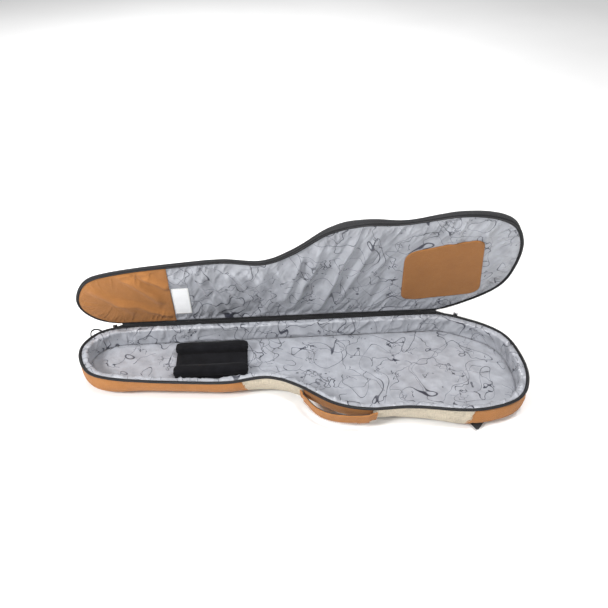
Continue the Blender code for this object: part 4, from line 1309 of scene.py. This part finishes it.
class GIGBAG_OT_hang_loop(Operator):
    """Adds the webbing loop at the headstock end, standing up at a slant from the wall"""

    bl_idname = "gigbag.hang_loop"
    bl_label = "Hang Loop"

    def execute(self, context):
        low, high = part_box("hang_loop")
        middle = OUTLINE.nearest((low.x + high.x) / 2, (low.y + high.y) / 2)
        points, normals = OUTLINE.places(middle + np.linspace(-0.0165, 0.0165, 41))
        share = np.linspace(0.0, 1.0, 41)
        rise = 0.0034 + 0.0204 * np.sin(pi * share) ** 0.62
        lean = np.radians(18)
        plan = points - normals * (rise * np.cos(lean))[:, None]
        path = np.column_stack([plan, (low.z + high.z) / 2 + 0.0018 + (rise - rise[0]) * np.sin(lean)])
        step = np.gradient(path, axis=0)
        step /= np.linalg.norm(step, axis=1)[:, None]
        across = np.r_[normals[20] * np.sin(lean), np.cos(lean)]
        face = np.cross(step, across)
        made = ribbon("hang_loop_band", path, face, 0.0052, 0.0036, finish("Black webbing"), 0.6)
        belongs(made, "loop", "black", "hang_loop")
        return {"FINISHED"}


def slider_pieces(name, centre, along, out, up):
    """A zip slider: a waisted body with a raised bridge, built along three directions."""
    along, out, up = (np.array(v, float) / np.linalg.norm(v) for v in (along, out, up))
    t = np.linspace(-1, 1, 15)
    half = 0.0042 * (1 - 0.28 * np.cos(pi * t / 2) ** 2)
    angle = np.linspace(0, 2 * pi, 20, endpoint=False)
    c, s = np.cos(angle), np.sin(angle)
    c, s = np.sign(c) * np.abs(c) ** 0.45, np.sign(s) * np.abs(s) ** 0.45
    cap = np.clip((1 - np.abs(t)) / 0.10, 0.35, 1.0) ** 0.5
    grid = centre + along * (t * 0.0062)[:, None, None]
    grid = grid + up * (half * cap)[:, None, None] * c[None, :, None]
    grid = grid + out * (0.0020 * cap)[:, None, None] * s[None, :, None]
    body = turned_out(surface(name, grid, finish("Dark nickel"), wrap=(False, True), caps=True, sharp=50))
    t = np.linspace(0, pi, 17)
    bridge = centre + along * (0.0042 * np.cos(t))[:, None]
    bridge = bridge + out * (0.0014 + 0.0016 * np.sin(t) ** 0.5)[:, None]
    loop = tube(f"{name}_bridge", bridge, 0.0008, finish("Dark nickel"), 8, ups=up)
    return joined(name, [body, loop])


PULL_LENGTH = 0.028


def pull_piece(name, pivot, down, out):
    """A zip pull: a moulded tongue that widens from its eye to a rounded end, ribbed for grip."""
    down, out = (np.array(v, float) / np.linalg.norm(v) for v in (down, out))
    side = np.cross(down, out)
    t = np.linspace(0, 1, 40)
    width = 0.0020 + 0.0015 * smooth_step(t, 0.1, 0.5)
    width = width * np.sqrt(np.clip(1 - ((t - 0.5) / 0.505) ** 16, 0.02, 1))
    thick = 0.0007 + 0.0002 * (t > 0.35) * (0.5 + 0.5 * np.cos(2 * pi * t / 0.075))
    angle = np.linspace(0, 2 * pi, 16, endpoint=False)
    c, s = np.cos(angle), np.sin(angle)
    c, s = np.sign(c) * np.abs(c) ** 0.4, np.sign(s) * np.abs(s) ** 0.6
    grid = pivot + down * (t * PULL_LENGTH)[:, None, None] + side * width[:, None, None] * c[None, :, None]
    grid = grid + out * thick[:, None, None] * s[None, :, None]
    return turned_out(surface(name, grid, finish("Black plastic"), wrap=(False, True), caps=True, sharp=50))


class GIGBAG_OT_sliders(Operator):
    """Adds the two sliders of the main zip and their pulls"""

    bl_idname = "gigbag.sliders"
    bl_label = "Zip Sliders"

    def execute(self, context):
        for word, at in (("head", 0.030), ("body", OUTLINE.length - 0.066)):
            _, (normal,) = OUTLINE.places(at)
            node = f"{word}_slider_body"
            centre = np.array(sum(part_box(node), Vector()) / 2)
            out, along = np.array((*-normal, 0.0)), np.array((-normal[1], normal[0], 0.0))
            made = slider_pieces(f"{word}_zip_slider", centre, along, out, (0, 0, 1))
            belongs(made, f"{word}_slider", "metal", node)
            node = f"{word}_slider_pull"
            low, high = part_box(node)
            pivot = np.array(((low.x + high.x) / 2, (low.y + high.y) / 2, high.z - 0.0006))
            made = pull_piece(f"{word}_zip_pull", pivot, (0, 0, -1), out)
            belongs(made, f"{word}_pull", "black", node)
        return {"FINISHED"}


# ---------------------------------------------------------------- shoulder straps

class GIGBAG_OT_straps(Operator):
    """Adds the stowed shoulder straps with their pads, buckles and webbing, and the lower tabs"""

    bl_idname = "gigbag.straps"
    bl_label = "Shoulder Straps"

    def strap(self, word, start_y, slope):
        body = f"{word}_strap"
        along = np.array((cos(radians(slope)), sin(radians(slope))))
        across = np.array((-along[1], along[0]))
        start = np.array((-0.055, start_y))
        bottom, top = (corner.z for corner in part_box(f"{body}_pad"))

        def strip(offset, length, width, radius):
            near, far, half = offset, offset + length, width / 2
            ends = (near, -half), (far, -half), (far, half), (near, half)
            return rounded_polygon([start + along * u + across * v for u, v in ends], radius)

        outline = strip(0.0, 0.36, 0.058, 0.020)
        pad = cushion(f"{body}_cushion", outline, bottom, top, finish("Charcoal nylon"), square=0.4)
        belongs(pad, body, "charcoal", f"{body}_pad")
        piped(f"{body}_piping", outline, (bottom + top) / 2, 0.0015, body)
        u = np.linspace(0.004, 0.352, 60)
        centre = start + along * u[:, None]
        line = np.column_stack([centre, np.full(60, bottom - 0.0002)])
        band = ribbon(f"{body}_rib", line, (0, 0, -1), 0.025, 0.0012, finish("Black webbing"), 0.4)
        belongs(band, body, "black")
        middle = start + along * 0.376
        ring = (-0.0138, -0.0155), (0.0138, -0.0155), (0.0138, 0.0155), (-0.0138, 0.0155)
        ring = rounded_polygon(ring, 0.004, 0.002)
        z = (bottom + top) / 2
        plan = middle + ring[:, :1] * along + ring[:, 1:] * across
        frame_path = np.column_stack([plan, np.full(len(ring), z)])
        parts = [tube(f"{body}_frame", frame_path, 0.0016, finish("Black plastic"), 10, closed=True)]
        for k, offset in enumerate((-0.003, 0.0055)):
            bar = middle + along * offset + np.outer(np.linspace(-0.0155, 0.0155, 9), across)
            bar = np.column_stack([bar, np.full(9, z)])
            parts.append(tube(f"{body}_bar_{k}", bar, 0.0014, finish("Black plastic"), 10))
        belongs(joined(f"{body}_ladder_buckle", parts), body, "buckle", f"{body}_buckle")
        u = np.linspace(0.380, 0.506, 50)
        path = np.column_stack([start + along * u[:, None], z - 0.0004 + 0.0004 * np.sin(u * 160)])
        band = ribbon(f"{body}_tail", path, (0, 0, -1), 0.025, 0.0016, finish("Black webbing"), 0.4)
        belongs(band, body, "black", f"{body}_webbing")
        anchor = strip(-0.0355, 0.030, 0.040, 0.004)
        low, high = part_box(f"{body}_anchor")
        made = cushion(f"{body}_anchor_patch", anchor, low.z, high.z, finish("Black webbing"), square=0.3)
        belongs(made, "tub", "black", f"{body}_anchor")
        near, far, half = -0.032, -0.009, 0.016
        cross = (near, -half), (far, -half), (far, half), (near, half), (near, -half), (far, half)
        cross = resampled(np.array(cross), 60)
        plan = start + cross[:, :1] * along + cross[:, 1:] * across
        line = np.column_stack([plan, np.full(60, low.z - 0.0002)])
        sewn(f"{body}_anchor_stitches", line, (0, 0, -1), "Tan thread", "tub", "black")

    def tab(self, word, start, end, apex_share):
        node = f"strap_tab_{word}"
        low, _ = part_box(node)
        at, points, normals = OUTLINE.run(start, end, (end - start) / 40)
        (place,), (normal,) = OUTLINE.places(start + (end - start) * apex_share)
        apex = place - normal * 0.012
        inner = points + normals * 0.024
        ends = np.linspace(inner, apex[None] + (inner - apex) * 0.10, 16)
        z = low.z - 0.0012 * np.sin(np.linspace(0, pi, 16))[:, None] + np.zeros((16, len(at)))
        grid = np.concatenate([ends, z[..., None]], axis=-1)
        made = surface(f"strap_tab_{word}_cloth", grid, finish("Black webbing"), solid=0.0020)
        belongs(made, "tub", "black", node)

    def execute(self, context):
        self.strap("front", -0.036, -19.0)
        self.strap("rear", 0.052, 4.5)
        self.tab("front", OUTLINE.at_x(0.419), OUTLINE.at_x(0.477), 0.28)
        self.tab("rear", OUTLINE.length - 0.190, OUTLINE.length - 0.130, 0.5)
        return {"FINISHED"}


# ---------------------------------------------------------------- lid

class GIGBAG_OT_lid_cover(Operator):
    """Adds the lid's charcoal side wall and its canvas outer panel with piping"""

    bl_idname = "gigbag.lid_cover"
    bl_label = "Lid Cover"

    def execute(self, context):
        at, points, normals = OUTLINE.loop(0.005)
        depth = lid_edge_depth(at)[:, None]
        level, turn = np.linspace(0, 1, 7)[None], np.radians(np.linspace(0, 85, 9))[None, 1:]
        radius = depth * 0.36
        low = RIM_Z + 0.0078
        inset = np.hstack([np.zeros((len(at), 7)), radius * (1 - np.cos(turn)), radius + 0.0025])
        z = np.hstack([
            low + (RIM_Z + depth - radius - low) * level, RIM_Z + depth - radius * (1 - np.sin(turn)),
            RIM_Z + depth + 0.0002,
        ])
        u = np.linspace(0.0, 0.035, inset.shape[1])
        swell = np.sin(pi * u / u[-1])[None]
        away = smooth_step(HINGE_Y - points[:, 1], 0.01, 0.05)[:, None]
        bow = swell * away * (0.0016 + 0.0016 * layered_noise(at / 0.16, at * 0, 81))[:, None]
        crease = swell * 0.0006 * layered_noise(at[:, None] / 0.04, u[None] / 0.02, 83)
        shape = np.stack([inset - bow - crease * away, z], axis=-1)
        uv = np.stack(np.meshgrid(np.r_[at, OUTLINE.total], u, indexing="ij"), axis=-1)
        side = surface(
            "lid_side_wall", opened(carried(points, normals, shape)), finish("Charcoal nylon"), uv=uv,
            wrap=(True, False), solid=0.0012,
        )
        belongs(side, "lid", "charcoal", "lid_gusset", "lid_foam")
        ring = ring_profile(0.0, 0.0, 0.0020, 10)[None] + np.stack([radius + 0.001, RIM_Z + depth], axis=-1)
        round_rim("lid_edge_piping", (points, normals), ring, "Black piping", opened, "lid", closed=True)
        x, y = plan_sheet(lambda at: lid_edge_depth(at) * 0.36 + 0.001, 0.006)
        distance, nearest = edge_distance(x, y, 0.007)
        short = LID_TOP - RIM_Z - lid_edge_depth(nearest)
        crown = 0.0045 * (1 - np.exp(-distance / 0.05)) + 0.0010 * layered_noise(x / 0.12, y / 0.1, 85)
        z = LID_TOP - short * np.exp(-((distance / 0.030) ** 2)) + crown * (1 - np.exp(-distance / 0.01))
        z = z - 0.0042 * pocket_hollow(x, y)
        plan_cloth(
            "lid_canvas", x, y, opened(np.stack([x, y, z], axis=-1)), "Linen canvas",
            ("lid", "linen", "lid_outer_panel"), "lid_foam", 0.75, solid=0.0014,
        )
        return {"FINISHED"}


def pocket_hollow(x, y):
    """1 inside the pockets' area and 0 away from it."""
    inside = np.zeros_like(x)
    for node in ("body_pocket", "neck_pocket"):
        x_low, x_high, y_high = POCKETS[node]
        across = smooth_step(x, x_low - 0.016, x_low - 0.002)
        across = across * (1 - smooth_step(x, x_high + 0.002, x_high + 0.016))
        inside = np.maximum(inside, across * (1 - smooth_step(y, y_high + 0.004, y_high + 0.018)))
    return inside


def pocket_area(word):
    """The pocket's two ends in x and its zip's far edge in y, on the closed lid."""
    panel, band = closed_box(f"{word}_panel"), closed_box(f"{word}_zip")
    return panel[LOW][0], panel[HIGH][0], band[HIGH][1]


POCKETS = {word: pocket_area(word) for word in ("body_pocket", "neck_pocket")}


class GIGBAG_OT_lid_lining(Operator):
    """Adds the lid's satin lining with its gathers, the canvas patches and the label"""

    bl_idname = "gigbag.lid_lining"
    bl_label = "Lid Lining"

    def execute(self, context):
        sizes = context.scene.gig_bag_sizes
        x, y = plan_sheet(0.0044, 0.0025)
        plan_cloth(
            "lid_satin", x, y, on_lining(x, y, sizes), "Printed satin", ("lid", "lining", "lid_lining"),
            "lid_foam", 0.76, flip=True, solid=0.0009,
        )

        seam_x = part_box("headstock_patch")[HIGH].x
        x, y = plan_sheet(0.0046, 0.003, (-1.0, seam_x))
        plan_cloth(
            "headstock_canvas", x, y, on_lining(x, y, sizes, 0.0013), "Tan canvas",
            ("lid", "tan", "headstock_patch"), "lid_lining", 0.88, flip=True, solid=0.0011,
        )
        line_y = np.linspace(y[-1, 0] + 0.004, y[-1, -1] - 0.004, 80)
        down = way(0.0, 0.0, -1.0)
        line = on_lining(np.full(80, seam_x - 0.003), line_y, sizes, 0.0015)
        sewn("headstock_seam", line, down, "Tan thread", "lid", "tan")

        outline = rounded_polygon(BRIDGE_CORNERS, 0.036, 0.004)
        centre = outline.mean(axis=0)
        reach = np.linspace(0.0, 1.0, 40)[:, None, None]
        plan = centre + (outline - centre)[None] * reach
        edge = np.clip((1 - reach[..., 0]) / 0.012, 0, 1)
        grid = on_lining(plan[..., 0], plan[..., 1], sizes, 0.0)
        grid = grid + down * (0.0004 + 0.0012 * np.broadcast_to(edge, grid.shape[:2]))[..., None]
        uv = np.concatenate([plan, plan[:, :1]], axis=1)
        # The bridge patch takes the tan canvas darkened as painted shade.
        made = turned_out(surface("bridge_canvas", grid, finish("Tan patch"), uv=uv, wrap=(False, True)), False)
        thicken(made, 0.0011)
        belongs(made, "lid", "tan", "bridge_patch")
        ring = centre + (outline - centre) * 0.965
        ring = np.vstack([ring, ring[:1]])
        line = on_lining(ring[:, 0], ring[:, 1], sizes, 0.0018)
        sewn("bridge_stitches", line, down, "Tan thread", "lid", "tan")

        low, high = closed_box("sewn_label")
        u, v = np.linspace(low[0], high[0], 24), np.linspace(low[1], high[1], 50)
        x, y = np.meshgrid(u, v, indexing="ij")
        made = surface(
            "blank_label", on_lining(x, y, sizes, 0.0012 + 0.0004), finish("Woven label"),
            uv=np.stack([x, y], axis=-1), flip=True, solid=0.0007,
        )
        belongs(made, "lid", "label", "sewn_label")
        inner = np.array([(low[0], low[1]), (high[0], low[1]), (high[0], high[1]), (low[0], high[1]), low[:2]])
        inner = resampled(inner, 160)
        middle = (low[:2] + high[:2]) / 2
        inner = middle + (inner - middle) * (0.92, 0.97)
        line = on_lining(inner[:, 0], inner[:, 1], sizes, 0.0018)
        sewn("label_stitches", line, down, "Pale thread", "lid", "label")
        return {"FINISHED"}


class GIGBAG_OT_pockets(Operator):
    """Adds the two pockets on the outside of the lid with their zips"""

    bl_idname = "gigbag.pockets"
    bl_label = "Lid Pockets"

    def execute(self, context):
        sizes = context.scene.gig_bag_sizes
        up, back = way(0.0, 0.0, 1.0), way(0.0, 1.0, 0.0)
        for word in ("body_pocket", "neck_pocket"):
            low, high = closed_box(f"{word}_panel")
            x, y = plan_sheet(0.034, 0.005, (low[0], high[0]))
            y = np.minimum(y, high[1])
            front, rear = y.min(axis=1, keepdims=True), y.max(axis=1, keepdims=True)
            t = np.linspace(0, 1, y.shape[1])[None]
            y = front + (rear - front) * t
            side = np.minimum(x - low[0], high[0] - x)
            edge = np.minimum(np.minimum(y - front, rear - y), side)
            puff = 0.0050 * (1 - np.exp(-edge / 0.020)) + 0.0008 * layered_noise(x / 0.06, y / 0.05, 91)
            z = low[2] + 0.0004 + puff * (1 - np.exp(-edge / 0.004))
            made = surface(
                f"{word}_canvas", opened(np.stack([x, y, z], axis=-1)), finish("Tan canvas"),
                uv=np.stack([x, y], axis=-1), solid=0.0014,
            )
            belongs(made, "lid", "tan", f"{word}_panel")
            plan = np.stack([x, y], axis=-1)
            ring = resampled(np.vstack([plan[:, 0], plan[-1], plan[::-1, -1], plan[0, ::-1]]), 220)[:-1]
            path = opened(np.column_stack([ring, np.full(len(ring), low[2] + 0.0008)]))
            made = tube(f"{word}_piping", path, 0.0018, finish("Black piping"), 8, closed=True, ups=up)
            belongs(made, "lid", "black")
            z_low, z_high = closed_box(f"{word}_zip")
            middle = (z_low + z_high) / 2
            u = np.linspace(z_low[0], z_high[0], 120)
            path = opened(np.column_stack([u, np.full((len(u), 2), middle[1:])]))
            band = ribbon(f"{word}_zip_band", path, up, 0.0125, 0.0016, finish("Black webbing"), 0.3)
            belongs(band, "lid", "black", f"{word}_zip")
            fine = np.arange(z_low[0] + 0.004, z_high[0] - 0.004, sizes.tooth / 3)
            swell = 0.0010 + 0.0004 * np.cos(2 * pi * fine / sizes.tooth)
            path = opened(np.column_stack([fine, np.full((len(fine), 2), (middle[1], z_high[2] + 0.0002))]))
            made = tube(f"{word}_zip_teeth", path, swell, finish("Black plastic"), 6, ups=up, flatten=1.4)
            belongs(made, "lid", "black")
            centre = np.array(sum(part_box(f"{word}_slider"), Vector()) / 2)
            made = slider_pieces(f"{word}_zip_slider", centre, (1, 0, 0), up, back)
            belongs(made, f"{word}_runner", "metal", f"{word}_slider")
            p_low, p_high = closed_box(f"{word}_pull")
            pivot = opened([((p_low[0] + p_high[0]) / 2, p_low[1] + 0.0006, (p_low[2] + p_high[2]) / 2)])[0]
            belongs(pull_piece(f"{word}_zip_pull", pivot, back, up), f"{word}_tab", "black", f"{word}_pull")
        return {"FINISHED"}


# ---------------------------------------------------------------- stage

class GIGBAG_OT_stage(Operator):
    """Adds the pale floor, the soft lights and the camera"""

    bl_idname = "gigbag.stage"
    bl_label = "Stage"

    # Name, place, diameter and watts
    LIGHTS = (
        ("Key", (-2.1, -1.5, 2.1), 0.7, 98.0),
        ("Fill", (1.9, -1.9, 2.3), 1.4, 24.0),
        ("Top", (0.7, -0.5, 2.6), 1.0, 44.0),
        ("Back", (-0.6, 2.6, 2.4), 2.4, 80.0),
    )

    def execute(self, context):
        scene = context.scene
        mesh = bpy.data.meshes.new("floor")
        mesh.from_pydata([(-6, -6, 0), (6, -6, 0), (6, 6, 0), (-6, 6, 0)], [], [(0, 1, 2, 3)])
        g = Graph("Pale floor")
        broad = g.fitted(g.noise(g.place(), 1.5, 2.0), 0.3, 0.7)
        pale = g.blend(broad, (0.86, 0.86, 0.86, 1), (0.9, 0.9, 0.9, 1))
        mesh.materials.append(g.shade(Base_Color=pale, Roughness=0.9))
        floor = bpy.data.objects.new("floor", mesh)
        scene.collection.objects.link(floor)
        scene.view_settings.view_transform = "Standard"
        world = bpy.data.worlds.new("Soft white")
        world.use_nodes = True
        world.node_tree.nodes["Background"].inputs["Color"].default_value = (1, 1, 1, 1)
        world.node_tree.nodes["Background"].inputs["Strength"].default_value = 0.48
        scene.world = world
        target = Vector((0.0, 0.0, 0.1))
        for name, place, size, power in self.LIGHTS:
            data = bpy.data.lights.new(name, "AREA")
            data.shape, data.size, data.energy = "DISK", size, power
            light = bpy.data.objects.new(name, data)
            light.location = place
            light.rotation_euler = (target - Vector(place)).to_track_quat("-Z", "Y").to_euler()
            scene.collection.objects.link(light)
        data = bpy.data.cameras.new("Camera")
        data.lens, data.sensor_width, data.clip_end = 40.44, 36.0, 50.0
        camera = bpy.data.objects.new("Camera", data)
        camera.location = (-0.085, -1.401, 1.3394)
        camera.rotation_euler = Vector((0.05447, 0.78224, -0.62059)).to_track_quat("-Z", "Y").to_euler()
        scene.collection.objects.link(camera)
        scene.camera = camera
        return {"FINISHED"}


OPERATORS = (
    GIGBAG_OT_outer_wall, GIGBAG_OT_lining, GIGBAG_OT_cradle, GIGBAG_OT_underside, GIGBAG_OT_rim,
    GIGBAG_OT_handle, GIGBAG_OT_hang_loop, GIGBAG_OT_sliders, GIGBAG_OT_straps, GIGBAG_OT_lid_cover,
    GIGBAG_OT_lid_lining, GIGBAG_OT_pockets, GIGBAG_OT_stage,
)


class GIGBAG_PT_panel(Panel):
    """Lists the bag's settings and its pieces"""

    bl_label = "Padded Gig Bag"
    bl_idname = "GIGBAG_PT_panel"
    bl_space_type = "VIEW_3D"
    bl_region_type = "UI"
    bl_category = "Gig Bag"

    def draw(self, context):
        scene = context.scene
        for settings in (scene.gig_bag_sizes, scene.gig_bag_colours):
            box = self.layout.box()
            for key in settings.__annotations__:
                box.prop(settings, key)
        for operator in OPERATORS:
            self.layout.operator(operator.bl_idname)


CLASSES = (GigBagColours, GigBagSizes, *OPERATORS, GIGBAG_PT_panel)


def register():
    for cls in CLASSES:
        bpy.utils.register_class(cls)
    bpy.types.Scene.gig_bag_colours = PointerProperty(type=GigBagColours)
    bpy.types.Scene.gig_bag_sizes = PointerProperty(type=GigBagSizes)


def unregister():
    del bpy.types.Scene.gig_bag_sizes
    del bpy.types.Scene.gig_bag_colours
    for cls in reversed(CLASSES):
        bpy.utils.unregister_class(cls)


def main():
    register()
    for operator in OPERATORS:
        getattr(bpy.ops.gigbag, operator.bl_idname.split(".")[1])()
    bpy.context.view_layer.update()


if __name__ == "__main__":
    main()
